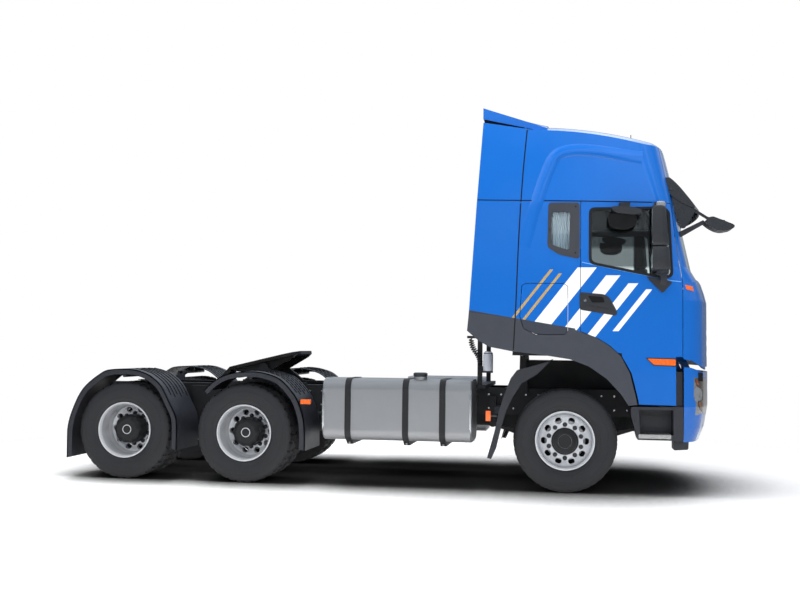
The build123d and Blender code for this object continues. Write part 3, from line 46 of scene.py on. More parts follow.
# Floor: where it starts to fade and is gone, how far off and how sharply the truck shades it, the
# openness at which that shade is deepest and over, and how dark and how white it gets.
FADE_FROM, FADE_TO = 3.4, 6.6
SHADE_REACH, SHADE_POWER = 4.5, 2.6
SHADE_DEEP, SHADE_OVER = 0.05, 0.74
FLOOR_DARK, FLOOR_LIFT = 0.03, 1.25
# Sky: its even light, the heights between which cloud gathers, the noise at which a cloud starts and
# is full, and the two tones mirrored in paint.
SKY_FILL = 0.36
CLOUD_LOW, CLOUD_HIGH = 0.05, 0.42
CLOUD_THIN, CLOUD_FULL = 0.40, 0.62
HORIZON_TONE, CLOUD_TONE = (0.16, 0.19, 0.23, 1.0), (1.3, 1.4, 1.5, 1.0)


def tone(code):
    """A colour written as six hex digits, as linear values."""
    parts = [int(code[at:at + 2], 16) / 255 for at in (0, 2, 4)]
    return tuple(p / 12.92 if p <= 0.04045 else ((p + 0.055) / 1.055) ** 2.4 for p in parts) + (1.0,)


def finish_of(name, colour, rough, metal=0.0, coat=0.0):
    """A plain finish: its material, its shader and its node tree."""
    material = bpy.data.materials.new(name)
    material.use_nodes = True
    tree = material.node_tree
    shader = tree.nodes["Principled BSDF"]
    for socket, value in (("Base Color", tone(colour)), ("Roughness", rough), ("Metallic", metal),
                          ("Coat Weight", coat), ("Coat Roughness", 0.04)):
        shader.inputs[socket].default_value = value
    return material, shader, tree


def node(tree, kind, feeds, **settings):
    """A node with its own settings, and a link or a plain value for each input named in feeds."""
    added = tree.nodes.new("ShaderNode" + kind)
    for setting, value in settings.items():
        setattr(added, setting, value)
    for socket, value in feeds.items():
        if isinstance(value, bpy.types.NodeSocket):
            tree.links.new(value, added.inputs[socket])
        else:
            added.inputs[socket].default_value = value
    return added


def math_node(tree, operation, *values):
    """The result of a Math node fed by sockets or by plain numbers."""
    return node(tree, "Math", dict(enumerate(values)), operation=operation).outputs[0]


def map_range(tree, value, low, high, **settings):
    """A value spread from a range of its own over 0 to 1."""
    return node(tree, "MapRange", {"Value": value, "From Min": low, "From Max": high}, **settings)


def mix_colours(tree, share, first, second):
    """The result of a Mix node for two colours; each is a socket or four numbers."""
    return node(tree, "Mix", {0: share, 6: first, 7: second}, data_type="RGBA").outputs[2]


def seen_as(tree, lit, seen, end):
    """Ends a tree in one shader where it is seen, straight or through glass, and in another elsewhere."""
    path = node(tree, "LightPath", {}).outputs
    straight = math_node(tree, "MAXIMUM", path["Is Camera Ray"], path["Is Transmission Ray"])
    mixed = node(tree, "MixShader", {0: straight, 1: lit.outputs[0], 2: seen.outputs[0]})
    tree.links.new(mixed.outputs[0], tree.nodes[end].inputs["Surface"])


bpy.context.scene.view_settings.view_transform = "Standard"
floor_mesh = bpy.data.meshes.new("floor")
floor_mesh.from_pydata([(FLOOR_HALF * x, FLOOR_HALF * y, 0) for x, y in ((-1, -1), (1, -1), (1, 1), (-1, 1))],
                       [], [(0, 1, 2, 3)])
floor = bpy.data.objects.new("floor", floor_mesh)
bpy.context.scene.collection.objects.link(floor)
floor_paint, floor_shader, floor_tree = finish_of("pale_floor", "F4F4F4", 0.9)
floor_shader.inputs["Specular IOR Level"].default_value = 0.0
# Seen straight on, the floor is lifted to white, fades into the backdrop with distance, and keeps its shadow.
floor_place = node(floor_tree, "TexCoord", {})
floor_reach = node(floor_tree, "VectorMath", {0: floor_place.outputs["Object"]}, operation="LENGTH")
floor_fade = map_range(floor_tree, floor_reach.outputs["Value"], FADE_FROM, FADE_TO)
# Close under and round the truck the floor is shut off from the sky, which deepens its soft shadow.
floor_open = node(floor_tree, "AmbientOcclusion", {"Distance": SHADE_REACH}, samples=12)
floor_deep = math_node(floor_tree, "POWER", floor_open.outputs["AO"], SHADE_POWER)
floor_shade = map_range(floor_tree, floor_deep, SHADE_DEEP, SHADE_OVER, interpolation_type="SMOOTHSTEP")
floor_shade.inputs["To Min"].default_value = FLOOR_DARK
floor_shade.inputs["To Max"].default_value = FLOOR_LIFT
floor_lift = node(floor_tree, "BsdfDiffuse", {"Color": floor_shade.outputs[0]})
floor_white = node(floor_tree, "Emission", {"Strength": 1.0})
floor_far = node(floor_tree, "MixShader", {0: floor_fade.outputs[0], 1: floor_lift.outputs[0],
                                           2: floor_white.outputs[0]})
seen_as(floor_tree, floor_shader, floor_far, "Material Output")
floor_mesh.materials.append(floor_paint)

# The sky lights the truck evenly, is white where it is seen, and is mirrored in paint as a dull
# horizon under pale broken cloud.
sky = bpy.data.worlds.new("pale_sky")
bpy.context.scene.world = sky
sky.use_nodes = True
sky_tree = sky.node_tree
sky_light = sky_tree.nodes["Background"]
sky_light.inputs["Color"].default_value = (0.93, 0.97, 1.0, 1.0)
sky_light.inputs["Strength"].default_value = SKY_FILL
sky_white = node(sky_tree, "Background", {"Color": (1.0, 1.0, 1.0, 1.0), "Strength": 1.0})
sky_place = node(sky_tree, "TexCoord", {}).outputs["Generated"]
sky_axes = node(sky_tree, "SeparateXYZ", {0: sky_place})
sky_cloud = node(sky_tree, "TexNoise", {"Vector": sky_place, "Scale": 3.1, "Detail": 4.0})
sky_height = map_range(sky_tree, sky_axes.outputs["Z"], CLOUD_LOW, CLOUD_HIGH)
sky_puff = map_range(sky_tree, sky_cloud.outputs[0], CLOUD_THIN, CLOUD_FULL)
sky_share = math_node(sky_tree, "MULTIPLY", sky_height.outputs[0], sky_puff.outputs[0])
sky_tones = mix_colours(sky_tree, sky_share, HORIZON_TONE, CLOUD_TONE)
sky_mirrored = node(sky_tree, "Background", {"Color": sky_tones})
sky_path = node(sky_tree, "LightPath", {})
sky_glossy = node(sky_tree, "MixShader", {0: sky_path.outputs["Is Glossy Ray"], 1: sky_light.outputs[0],
                                          2: sky_mirrored.outputs[0]})
seen_as(sky_tree, sky_glossy, sky_white, "World Output")

# Columns: name, place, aimed at, width, height, watts.
LAMPS = [
    ("overhead_softbox", (0.0, -1.0, 8.0), (0.0, 0.0, 1.0), 10.0, 5.0, 900),
    ("side_softbox", (3.0, -12.0, 6.0), (0.0, 0.0, 1.6), 9.0, 4.0, 800),
    ("back_softbox", (-6.0, 9.0, 6.0), (0.0, 0.0, 1.5), 6.0, 4.0, 300),
]
for name, place, aim, width, height, watts in LAMPS:
    light = bpy.data.lights.new(name, "AREA")
    light.shape = "RECTANGLE"
    light.size, light.size_y, light.energy = width, height, watts
    lamp = bpy.data.objects.new(name, light)
    lamp.visible_glossy = False
    lamp.location = place
    lamp.rotation_euler = (Vector(aim) - Vector(place)).to_track_quat("-Z", "Y").to_euler()
    bpy.context.scene.collection.objects.link(lamp)

FOCUS_PX, WIDTH_PX, SENSOR_MM = 1005.54, 800, 36.0
EYE = (0.0351 + AXLE_X, -11.5399, 1.4535)
TURN, PITCH, ROLL = 0.1666, 0.0470, 0.0115
ahead = Vector((-sin(TURN) * cos(PITCH), cos(TURN) * cos(PITCH), sin(PITCH)))
level_right = Vector((cos(TURN), sin(TURN), 0.0))
level_up = level_right.cross(ahead)
lens_right = cos(ROLL) * level_right + sin(ROLL) * level_up
lens_up = cos(ROLL) * level_up - sin(ROLL) * level_right
camera_data = bpy.data.cameras.new("camera")
camera_data.sensor_width = SENSOR_MM
camera_data.lens = SENSOR_MM * FOCUS_PX / WIDTH_PX
camera = bpy.data.objects.new("camera", camera_data)
camera.matrix_world = Matrix.Translation(EYE) @ Matrix((lens_right, lens_up, -ahead)).transposed().to_4x4()
bpy.context.scene.collection.objects.link(camera)
bpy.context.scene.camera = camera


# ---- Curly air hose ----
# A coiled black rubber air line that hangs behind the cab, from the arm at the stand's head down
# to the coupling on its shelf. The wire follows the route's own smooth line, turn beside turn.
HOSE_ROUTE = [(-1.008, 1.560), (-1.008, 1.475), (-0.905, 1.347), (-0.905, 1.262)]
HOSE_Y = -0.660
ROUTE_STEPS = 24
COIL_R = 0.025
WIRE_R = 0.0065
COIL_TURNS = 13
COIL_STEPS = 14
END_SWELL = 14


def row_point(x, y, z):
    """A point given ahead of the front axle, as it lies in the shared frame."""
    return Vector((AXLE_X + x, y, z))


def smooth_line(name, points, steps):
    """A smooth curve that starts on the first point and ends on the last."""
    data = bpy.data.curves.new(name, "CURVE")
    data.dimensions = "3D"
    data.resolution_u = steps
    line = data.splines.new("NURBS")
    line.points.add(len(points) - 1)
    for point, place in zip(line.points, points):
        point.co = (*place, 1.0)
    line.order_u = 3
    line.use_endpoint_u = True
    return bpy.data.objects.new(name, data)


route = smooth_line("hose_route", [row_point(x, HOSE_Y, z) for x, z in HOSE_ROUTE], ROUTE_STEPS)
route_mesh = bpy.data.meshes.new_from_object(route)
route_points = [v.co.copy() for v in route_mesh.vertices]
bpy.data.meshes.remove(route_mesh)
bpy.data.objects.remove(route)
run = [0.0]
for here, there in zip(route_points, route_points[1:]):
    run.append(run[-1] + (there - here).length)
coil_points = []
for step in range(COIL_TURNS * COIL_STEPS + 1):
    share = step / (COIL_TURNS * COIL_STEPS)
    along = share * run[-1]
    leg = max(1, next(i for i, length in enumerate(run) if length >= along - 1e-9))
    part = (along - run[leg - 1]) / (run[leg] - run[leg - 1])
    middle = route_points[leg - 1].lerp(route_points[leg], part)
    forward = (route_points[leg] - route_points[leg - 1]).normalized()
    across = Vector((0.0, 1.0, 0.0))
    out = forward.cross(across)
    swell = min(1.0, share * END_SWELL, (1 - share) * END_SWELL)
    turn = 2 * pi * COIL_TURNS * share
    coil_points.append(middle + COIL_R * swell * (cos(turn) * across + sin(turn) * out))
curly_hose = smooth_line("curly_hose", coil_points, 12)
curly_hose.data.bevel_depth = WIRE_R
curly_hose.data.bevel_resolution = 3
curly_hose.data.use_fill_caps = True
bpy.context.scene.collection.objects.link(curly_hose)
hose_rubber, hose_shader, hose_tree = finish_of("hose_rubber", "151517", 0.38)
hose_grain = node(hose_tree, "TexNoise", {"Scale": 9.0}).outputs["Fac"]
hose_wear = node(hose_tree, "ValToRGB", {0: hose_grain})
hose_wear.color_ramp.elements[0].color = tone("111113")
hose_wear.color_ramp.elements[1].color = tone("202023")
hose_gloss = node(hose_tree, "MapRange", {"Value": hose_grain, "To Min": 0.30, "To Max": 0.48})
hose_tree.links.new(hose_wear.outputs[0], hose_shader.inputs["Base Color"])
hose_tree.links.new(hose_gloss.outputs[0], hose_shader.inputs["Roughness"])
curly_hose.data.materials.append(hose_rubber)
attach(curly_hose, "chassis")
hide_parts("air_hose")


# ---- Cab panels and bumper ----
# Pressed steel panels in one glossy blue, with a clear coat over it. The sides carry plain slanted
# white bands and two thin gold ones, sprayed over the blue, level across door and locker.
def group_of(name, inputs, outputs):
    """An empty shader group with its named sockets, and its two end nodes."""
    group = bpy.data.node_groups.new(name, "ShaderNodeTree")
    for socket, kind, value in inputs:
        entry = group.interface.new_socket(name=socket, in_out="INPUT", socket_type=kind)
        entry.default_value = value
    for socket, kind in outputs:
        group.interface.new_socket(name=socket, in_out="OUTPUT", socket_type=kind)
    return group, group.nodes.new("NodeGroupInput"), group.nodes.new("NodeGroupOutput")


def object_axes(tree):
    """A surface point's three object coordinates, each as a socket."""
    place = node(tree, "TexCoord", {}).outputs["Object"]
    return node(tree, "SeparateXYZ", {0: place}).outputs


def below(tree, value, limit):
    """A mask that is 1 where a value is under a limit."""
    return math_node(tree, "LESS_THAN", value, limit)


def both(tree, first, second):
    """A mask that is 1 where two masks are."""
    return math_node(tree, "MULTIPLY", first, second)


def between(tree, value, low, high):
    """A mask that is 1 where a value lies between two limits."""
    return both(tree, math_node(tree, "GREATER_THAN", value, low), below(tree, value, high))


# Columns: where the band's middle crosses the level, half width, low end, high end, 1 for gold.
BANDS = [
    (-0.42, 0.016, 1.62, 2.26, 1),
    (-0.30, 0.016, 1.66, 2.22, 1),
    (-0.08, 0.095, 1.50, 2.28, 0),
    (0.24, 0.070, 1.50, 2.20, 0),
    (0.50, 0.048, 1.56, 2.12, 0),
    (0.70, 0.030, 1.64, 2.06, 0),
]
BAND_LEAN = 0.78
BAND_LEVEL = 1.9
BAND_SIDE = 1.2
band_group, band_in, band_out = group_of("slanted_bands", [("Paint", "NodeSocketColor", (0, 0, 1, 1))],
                                         [("Color", "NodeSocketColor")])
band_x, band_y, band_z = object_axes(band_group)
side_only = math_node(band_group, "GREATER_THAN", math_node(band_group, "ABSOLUTE", band_y), BAND_SIDE)
rise = math_node(band_group, "SUBTRACT", band_z, BAND_LEVEL)
shifted = math_node(band_group, "SUBTRACT", band_x, math_node(band_group, "MULTIPLY", rise, BAND_LEAN))
band_colour = band_in.outputs["Paint"]
for middle, half, low, high, gold in BANDS:
    off = math_node(band_group, "ABSOLUTE", math_node(band_group, "SUBTRACT", shifted, AXLE_X + middle))
    inside = both(band_group, below(band_group, off, half), side_only)
    mask = both(band_group, inside, between(band_group, band_z, low, high))
    band_colour = mix_colours(band_group, mask, band_colour, tone("B79A5A") if gold else tone("F2F4F6"))
band_group.links.new(band_colour, band_out.inputs["Color"])

# Fine unevenness of sprayed and moulded surfaces: a tone that drifts, and a height for a bump.
drift_group, drift_in, drift_out = group_of(
    "surface_drift",
    [("Paint", "NodeSocketColor", (0.5, 0.5, 0.5, 1)), ("Dust", "NodeSocketColor", (0.3, 0.29, 0.28, 1)),
     ("Amount", "NodeSocketFloat", 0.1), ("Scale", "NodeSocketFloat", 4.0),
     ("Rough", "NodeSocketFloat", 0.4)],
    [("Color", "NodeSocketColor"), ("Roughness", "NodeSocketFloat"), ("Height", "NodeSocketFloat")])
drift_place = node(drift_group, "TexCoord", {})
drift_noise = node(drift_group, "TexNoise", {"Vector": drift_place.outputs["Object"], "Detail": 5.0,
                                             "Scale": drift_in.outputs["Scale"]})
drift_share = math_node(drift_group, "MULTIPLY", drift_noise.outputs[0], drift_in.outputs["Amount"])
drift_colour = mix_colours(drift_group, drift_share, drift_in.outputs["Paint"], drift_in.outputs["Dust"])
drift_rough = math_node(drift_group, "ADD", drift_in.outputs["Rough"],
                        math_node(drift_group, "MULTIPLY", drift_share, 0.5))
for at, result in enumerate((drift_colour, drift_rough, drift_noise.outputs[0])):
    drift_group.links.new(result, drift_out.inputs[at])


def weather(shader, tree, colour, dust, amount, scale, rough, bump=0.0):
    """Places the drift group in a finish with its own values, with a bump where one is asked for."""
    drift = node(tree, "Group", {"Paint": tone(colour), "Dust": tone(dust), "Amount": amount, "Scale": scale,
                                 "Rough": rough}, node_tree=drift_group)
    tree.links.new(drift.outputs["Color"], shader.inputs["Base Color"])
    tree.links.new(drift.outputs["Roughness"], shader.inputs["Roughness"])
    if bump:
        relief = node(tree, "Bump", {"Strength": bump, "Distance": 0.002, "Height": drift.outputs["Height"]})
        tree.links.new(relief.outputs[0], shader.inputs["Normal"])
    return drift.outputs["Color"]


def worn(name, colour, dust, amount, scale, rough, bump=0.0, metal=0.0, coat=0.0):
    """A material whose tone drifts from its own colour to that of dust."""
    material, shader, tree = finish_of(name, colour, rough, metal, coat)
    weather(shader, tree, colour, dust, amount, scale, rough, bump)
    return material


def dress(material, *names):
    """Gives CAD nodes one finish through their objects' own material slots."""
    for name in names:
        for slot in nodes[name].material_slots:
            slot.material = material


cab_blue, blue_shader, blue_tree = finish_of("cab_blue", "0B67C2", 0.3, 0.0, 1.0)
blue_shader.inputs["Specular IOR Level"].default_value = 0.15
blue_drift = weather(blue_shader, blue_tree, "055FB9", "0D6BC6", 0.5, 1.3, 0.35)
blue_bands = node(blue_tree, "Group", {"Paint": blue_drift}, node_tree=band_group)
# The inner faces of the walls, ahead of the deflectors, carry a pale moulded lining.
CAB_MIDDLE = (AXLE_X + 0.35, 0.0, 2.4)
# How far a wall's and an end's face has to turn to the middle, and be off it, to count as inner.
WALL_INNER, END_INNER = -1.1, -0.7
LINING_BACK, LINING_SIDE = AXLE_X - 0.48, 1.15
inside_place = node(blue_tree, "TexCoord", {}).outputs
inside_from = node(blue_tree, "VectorMath", {0: inside_place["Object"], 1: CAB_MIDDLE}, operation="SUBTRACT")
inside_facing = node(blue_tree, "VectorMath", {0: inside_place["Normal"], 1: inside_from.outputs[0]},
                     operation="DOT_PRODUCT").outputs["Value"]
inside_x, inside_y, inside_z = object_axes(blue_tree)
wall_face = below(blue_tree, inside_facing, WALL_INNER)
end_face = below(blue_tree, inside_facing, END_INNER)
end_inner = below(blue_tree, math_node(blue_tree, "ABSOLUTE", inside_y), LINING_SIDE)
lined = math_node(blue_tree, "MAXIMUM", wall_face, both(blue_tree, end_face, end_inner))
lined = both(blue_tree, lined, math_node(blue_tree, "GREATER_THAN", inside_x, LINING_BACK))
cab_colour = mix_colours(blue_tree, lined, blue_bands.outputs["Color"], tone("A9AAAB"))
# The foot of each locker door is grey plastic like the trim round it, and the cab's floor is sealed in black.
FOOT_SLOPE, FOOT_HIGH, FOOT_FRONT = 0.167, 1.680, AXLE_X + 0.10
FLOOR_HIGH, FLOOR_FRONT = 1.42, AXLE_X + 0.56
foot_line = math_node(blue_tree, "ADD", inside_z, math_node(blue_tree, "MULTIPLY", inside_x, FOOT_SLOPE))
foot = both(blue_tree, below(blue_tree, foot_line, FOOT_HIGH + FOOT_SLOPE * AXLE_X),
            below(blue_tree, inside_x, FOOT_FRONT))
cab_colour = mix_colours(blue_tree, foot, cab_colour, tone("3A3D46"))
underside = both(blue_tree, below(blue_tree, inside_z, FLOOR_HIGH), below(blue_tree, inside_x, FLOOR_FRONT))
cab_colour = mix_colours(blue_tree, underside, cab_colour, tone("0F0F11"))
blue_tree.links.new(cab_colour, blue_shader.inputs["Base Color"])
dress(cab_blue, "cab_shell", "cab_roof", "roof_spoiler", "side_deflectors", "corner_panels", "front_panel",
      "door_right", "door_left", "locker_right", "locker_left", "bumper")

# ---- Window rubbers and door seals ----
# Black extruded rubber pressed round each door window, and a thin pale blue strip along the belt
# crease below it, which is a painted highlight. Both lie on the panel's own face.
def grown(points, by):
    """An outline moved outwards by one width all round."""
    area = sum(a[0] * b[1] - b[0] * a[1] for a, b in zip(points, points[1:] + points[:1]))
    way = by if area > 0 else -by
    result = []
    for before, here, after in zip(points[-1:] + points[:-1], points, points[1:] + points[:1]):
        first = (Vector(here) - Vector(before)).normalized()
        second = (Vector(after) - Vector(here)).normalized()
        middle = (first + second).normalized()
        reach = way / max(0.35, middle.dot(first))
        result.append((here[0] + middle.y * reach, here[1] - middle.x * reach))
    return result


def rounded(points, radius, steps=4):
    """An outline with its corners rounded off."""
    result = []
    for before, here, after in zip(points[-1:] + points[:-1], points, points[1:] + points[:1]):
        corner = Vector(here)
        back = Vector(before) - corner
        on = Vector(after) - corner
        cut = min(radius, back.length * 0.45, on.length * 0.45)
        start = corner + back.normalized() * cut
        end = corner + on.normalized() * cut
        for step in range(steps + 1):
            share = step / steps
            spot = start.lerp(corner, share).lerp(corner.lerp(end, share), share)
            result.append((spot.x, spot.y))
    return result


WALL_OUT, WALL_LEAN, LEAN_FROM = 1.25, 0.0061, 2.29
ROOF_OUT, ROOF_LEAN, ROOF_FROM = 1.246, 0.106, 2.95


def flank(z):
    """Distance of the cab's side from the middle at a height."""
    if z < ROOF_FROM:
        return WALL_OUT - WALL_LEAN * max(0.0, z - LEAN_FROM)
    return ROOF_OUT - ROOF_LEAN * (z - ROOF_FROM)


def on_side(hand):
    """Lays a side-view outline on the cab's side, raised by a depth."""
    return lambda point, depth: (point[0], hand * (flank(point[1]) + depth), point[1])


def at_y(hand):
    """Lays a side-view outline at a distance from the middle."""
    return lambda point, depth: (point[0], hand * depth, point[1])


def at_x(point, depth):
    """Lays a cross-section outline at a distance ahead of the front axle."""
    return (depth, point[0], point[1])


def skin(shape, rings):
    """Faces between each ring of points and the next."""
    for ring, beside in zip(rings, rings[1:]):
        for at in range(len(ring)):
            to = (at + 1) % len(ring)
            shape.faces.new((ring[at], ring[to], beside[to], beside[at]))


def lofted(shape, rings):
    """A closed skin over rings of as many places, with both ends shut."""
    placed = [[shape.verts.new(spot) for spot in ring] for ring in rings]
    skin(shape, placed)
    shape.faces.new(placed[0])
    shape.faces.new(placed[-1][::-1])


def plate(shape, outline, low, high, lay):
    """A solid between two depths, with one outline."""
    lofted(shape, [[lay(point, depth) for point in outline] for depth in (low, high)])


def sleeve(shape, inner, outer, low, high, lay):
    """A solid frame between an inner and an outer outline of as many points."""
    rings = [[shape.verts.new(lay(point, depth)) for point in outline]
             for outline, depth in ((inner, low), (outer, low), (outer, high), (inner, high))]
    skin(shape, rings + rings[:1])


def made(name, body, material, shape, sharp=35):
    """Turns a shape drawn in metres from the front axle into a piece that rides on a body."""
    bmesh.ops.recalc_face_normals(shape, faces=shape.faces)
    bmesh.ops.translate(shape, verts=shape.verts, vec=(AXLE_X, 0, 0))
    mesh = bpy.data.meshes.new(name)
    shape.to_mesh(mesh)
    shape.free()
    mesh.shade_smooth()
    mesh.set_sharp_from_angle(angle=radians(sharp))
    mesh.materials.append(material)
    piece = bpy.data.objects.new(name, mesh)
    bpy.context.scene.collection.objects.link(piece)
    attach(piece, body)
    return piece


def slab(name, body, material, outline, low, high, lay):
    """A piece that is one plate."""
    shape = bmesh.new()
    plate(shape, outline, low, high, lay)
    made(name, body, material, shape)


SIDES = (("right", -1), ("left", 1))
DOOR_WINDOW = [(0.255, 2.335), (0.943, 2.191), (1.035, 2.200), (1.004, 2.829), (0.960, 2.866), (0.255, 2.866)]
RUBBER_INNER = rounded(grown(DOOR_WINDOW, -0.004), 0.05)
RUBBER_OUTER = rounded(grown(DOOR_WINDOW, 0.024), 0.062)
BELT = [(0.165, 2.337), (0.432, 2.279), (0.788, 2.205), (0.941, 2.172), (1.046, 2.150), (1.135, 2.140)]
rubber_black = worn("window_rubber", "0E0F11", "1E1F22", 0.3, 20.0, 0.42)
# Pale blue: a painted highlight along the belt crease.
belt_painted_highlight = worn("belt_painted_highlight", "6FAEF2", "5C9CE6", 0.4, 5.0, 0.3, coat=1.0)
for side_name, hand in SIDES:
    shape = bmesh.new()
    sleeve(shape, RUBBER_INNER, RUBBER_OUTER, -0.006, 0.003, on_side(hand))
    made("door_window_rubber_" + side_name, "door_" + side_name, rubber_black, shape)
    slab("door_belt_highlight_" + side_name, "door_" + side_name, belt_painted_highlight,
         BELT + [(x, z - 0.008) for x, z in BELT[::-1]], -0.004, 0.0015, on_side(hand))

# ---- Door handles, locks and side lamps ----
# A black moulded bezel let into the door's skin, a pull bar across its cavity, a bright key barrel,
# and an amber direction lamp screwed to the panel below the sill.
HANDLE_BEZEL = [(0.139, 2.031), (0.385, 2.010), (0.439, 1.976), (0.516, 1.831), (0.504, 1.794),
                (0.140, 1.853)]
HANDLE_CAVITY = [(0.223, 1.994), (0.373, 1.982), (0.391, 1.928), (0.265, 1.927)]
HANDLE_BAR = [(0.217, 1.927), (0.385, 1.921), (0.433, 1.897), (0.451, 1.867), (0.277, 1.890), (0.217, 1.902)]
DOOR_LAMP = [(0.806, 1.370), (1.080, 1.366), (1.080, 1.302), (0.870, 1.309)]
handle_black = worn("handle_black", "232529", "3A3C41", 0.3, 25.0, 0.36, 0.1)
# Near-black, matte: painted shade in the handle cavity, and plain black on seals, screws and stems.
deep_black_and_shade = worn("deep_black_and_shade", "060607", "101012", 0.4, 12.0, 0.75)
bright_steel = worn("bright_steel", "C9CBCE", "A2A4A8", 0.3, 14.0, 0.18, metal=1.0)
amber_lens = worn("amber_lens", "F06A12", "D9560C", 0.5, 40.0, 0.15, coat=1.0)


def turned(shape, profile, centre, steps=32, along="y", shut=False):
    """A profile of places along an axis and radii, turned about the axis through centre."""
    rings = []
    for place, radius in profile:
        ring = []
        for step in range(1 if radius < 1e-6 else steps):
            turn = 2 * pi * step / steps
            a, b = radius * cos(turn), radius * sin(turn)
            spot = {"x": (place, a, b), "y": (a, place, b), "z": (a, b, place)}[along]
            ring.append(shape.verts.new(Vector(centre) + Vector(spot)))
        rings.append(ring)
    for first, second in zip(rings, rings[1:] + (rings[:1] if shut else [])):
        for step in range(steps):
            corners = [first[step % len(first)], first[(step + 1) % len(first)],
                       second[(step + 1) % len(second)], second[step % len(second)]]
            distinct = list(dict.fromkeys(corners))
            if len(distinct) > 2:
                shape.faces.new(distinct)


def drum(low, high, radius):
    """The profile of a plain drum between two places on its axis."""
    return [(low, 0.0), (low, radius), (high, radius), (high, 0.0)]


def spun(name, body, material, profile, centre, steps, along):
    """A piece that is one turned profile."""
    shape = bmesh.new()
    turned(shape, profile, centre, steps, along)
    made(name, body, material, shape)


# Columns: name, finish, slot, outline, low and high places off the door's skin.
DOOR_FITTINGS = [
    ("handle_bezel_", handle_black, "black_plastic", rounded(HANDLE_BEZEL, 0.03), -0.022, 0.002),
    # The cavity is a flat plate, painted shade for the recess.
    ("handle_cavity_shade_", deep_black_and_shade, "black_plastic", rounded(HANDLE_CAVITY, 0.015), -0.004, 0.0026),
    ("handle_bar_", handle_black, "black_plastic", rounded(HANDLE_BAR, 0.012), 0.0, 0.012),
    ("door_lamp_", amber_lens, "lamp_glass", rounded(DOOR_LAMP, 0.012), -0.004, 0.008),
    ("door_lamp_seat_", rubber_black, "black_plastic", rounded(grown(DOOR_LAMP, 0.008), 0.014), -0.004,
     0.003),
]
for side_name, hand in SIDES:
    for name, finish, slot, outline, low, high in DOOR_FITTINGS:
        slab(name + side_name, "door_" + side_name, finish, outline, low, high, on_side(hand))
    spun("door_lock_" + side_name, "door_" + side_name, bright_steel,
         drum(0.0, hand * 0.008, 0.013), (0.197, hand * WALL_OUT, 1.945), 20, "y")

# ---- Shut lines and the roof's side crease ----
# Black rubber-filled shut lines between the deflector, roof and cab panels, and the long crease
# pressed in each side from the belt up over the roof's shoulder.
DEFLECTOR_LINE = [(-0.396, 3.712), (-0.427, 3.357), (-0.452, 2.973), (-0.475, 2.531), (-0.496, 1.948),
                  (-0.504, 1.775), (-0.520, 1.440)]
ROOF_LINE = [(-0.900, 2.981), (-0.454, 2.970), (0.144, 2.956), (0.851, 2.934)]
CREASE = [(-0.404, 2.493), (-0.337, 2.748), (-0.270, 2.964), (-0.209, 3.160), (-0.146, 3.326),
          (-0.118, 3.385), (-0.075, 3.432), (-0.012, 3.459), (0.085, 3.472), (0.180, 3.471), (0.333, 3.454),
          (0.466, 3.430), (0.618, 3.402), (0.760, 3.378)]
# Columns: distance to the line's right, height off the skin.
CREASE_SECTION = [(-0.085, -0.004), (0.055, -0.004), (0.050, 0.0004), (0.012, 0.008), (0.0, 0.0105),
                  (-0.02, 0.0095), (-0.080, 0.0004)]
CREASE_FADE = 14
DEFLECTOR_SEAL = [(-0.845, 3.790), (-0.420, 3.715), (-0.420, 3.760), (-0.845, 3.870)]


def ribbon(shape, points, lay, section, fade=0):
    """A band along an open line, from distances to the line's right and their heights off the skin.

    Over fade points at either end it sinks into the skin."""
    rows = []
    befores, afters = points[:1] + points[:-1], points[1:] + points[-1:]
    for at, (before, here, after) in enumerate(zip(befores, points, afters)):
        near_end = min(1.0, (min(at, len(points) - 1 - at) + 0.3) / fade) if fade else 1.0
        ahead_way = (Vector(after) - Vector(before)).normalized()
        right = (ahead_way.y, -ahead_way.x)
        rows.append([lay((here[0] + right[0] * off, here[1] + right[1] * off),
                         rise * near_end if rise > 0 else rise) for off, rise in section])
    lofted(shape, rows)


def faired(points, steps=6):
    """A smooth line through every point."""
    result = []
    for at in range(len(points) - 1):
        a, b, c, d = [Vector(points[min(max(at + shift, 0), len(points) - 1)]) for shift in (-1, 0, 1, 2)]
        for step in range(steps):
            t = step / steps
            bend = (2 * a - 5 * b + 4 * c - d) * t ** 2 + (3 * b - a - 3 * c + d) * t ** 3
            spot = 0.5 * (2 * b + (c - a) * t + bend)
            result.append((spot.x, spot.y))
    return result + [tuple(points[-1])]


for side_name, hand in SIDES:
    shape = bmesh.new()
    for line, half in ((DEFLECTOR_LINE, 0.006), (ROOF_LINE, 0.005)):
        ribbon(shape, faired(line), on_side(hand),
               [(-half, -0.004), (half, -0.004), (half, 0.0012), (-half, 0.0012)])
    # Black seal that closes the slit between the deflector's top and the spoiler.
    plate(shape, DEFLECTOR_SEAL, 1.075, 1.093, at_y(hand))
    made("panel_shut_lines_" + side_name, "cab", deep_black_and_shade, shape)
    shape = bmesh.new()
    ribbon(shape, faired(CREASE), on_side(hand), CREASE_SECTION, CREASE_FADE)
    made("side_crease_" + side_name, "cab", cab_blue, shape, 60)

# ---- Arch trims and quarter panels ----
# Grained grey plastic skirts over the wheel arches, and a satin panel round each quarter window
# held by small black screws.
QUARTER_WINDOW = [(-0.142, 2.514), (0.034, 2.454), (0.045, 2.847), (-0.140, 2.849)]
QUARTER_PANEL = [(-0.174, 2.942), (0.141, 2.942), (0.141, 2.363), (-0.069, 2.412), (-0.184, 2.488)]
QUARTER_MIDDLE = (-0.045, 2.66)
QUARTER_POINTS = 160


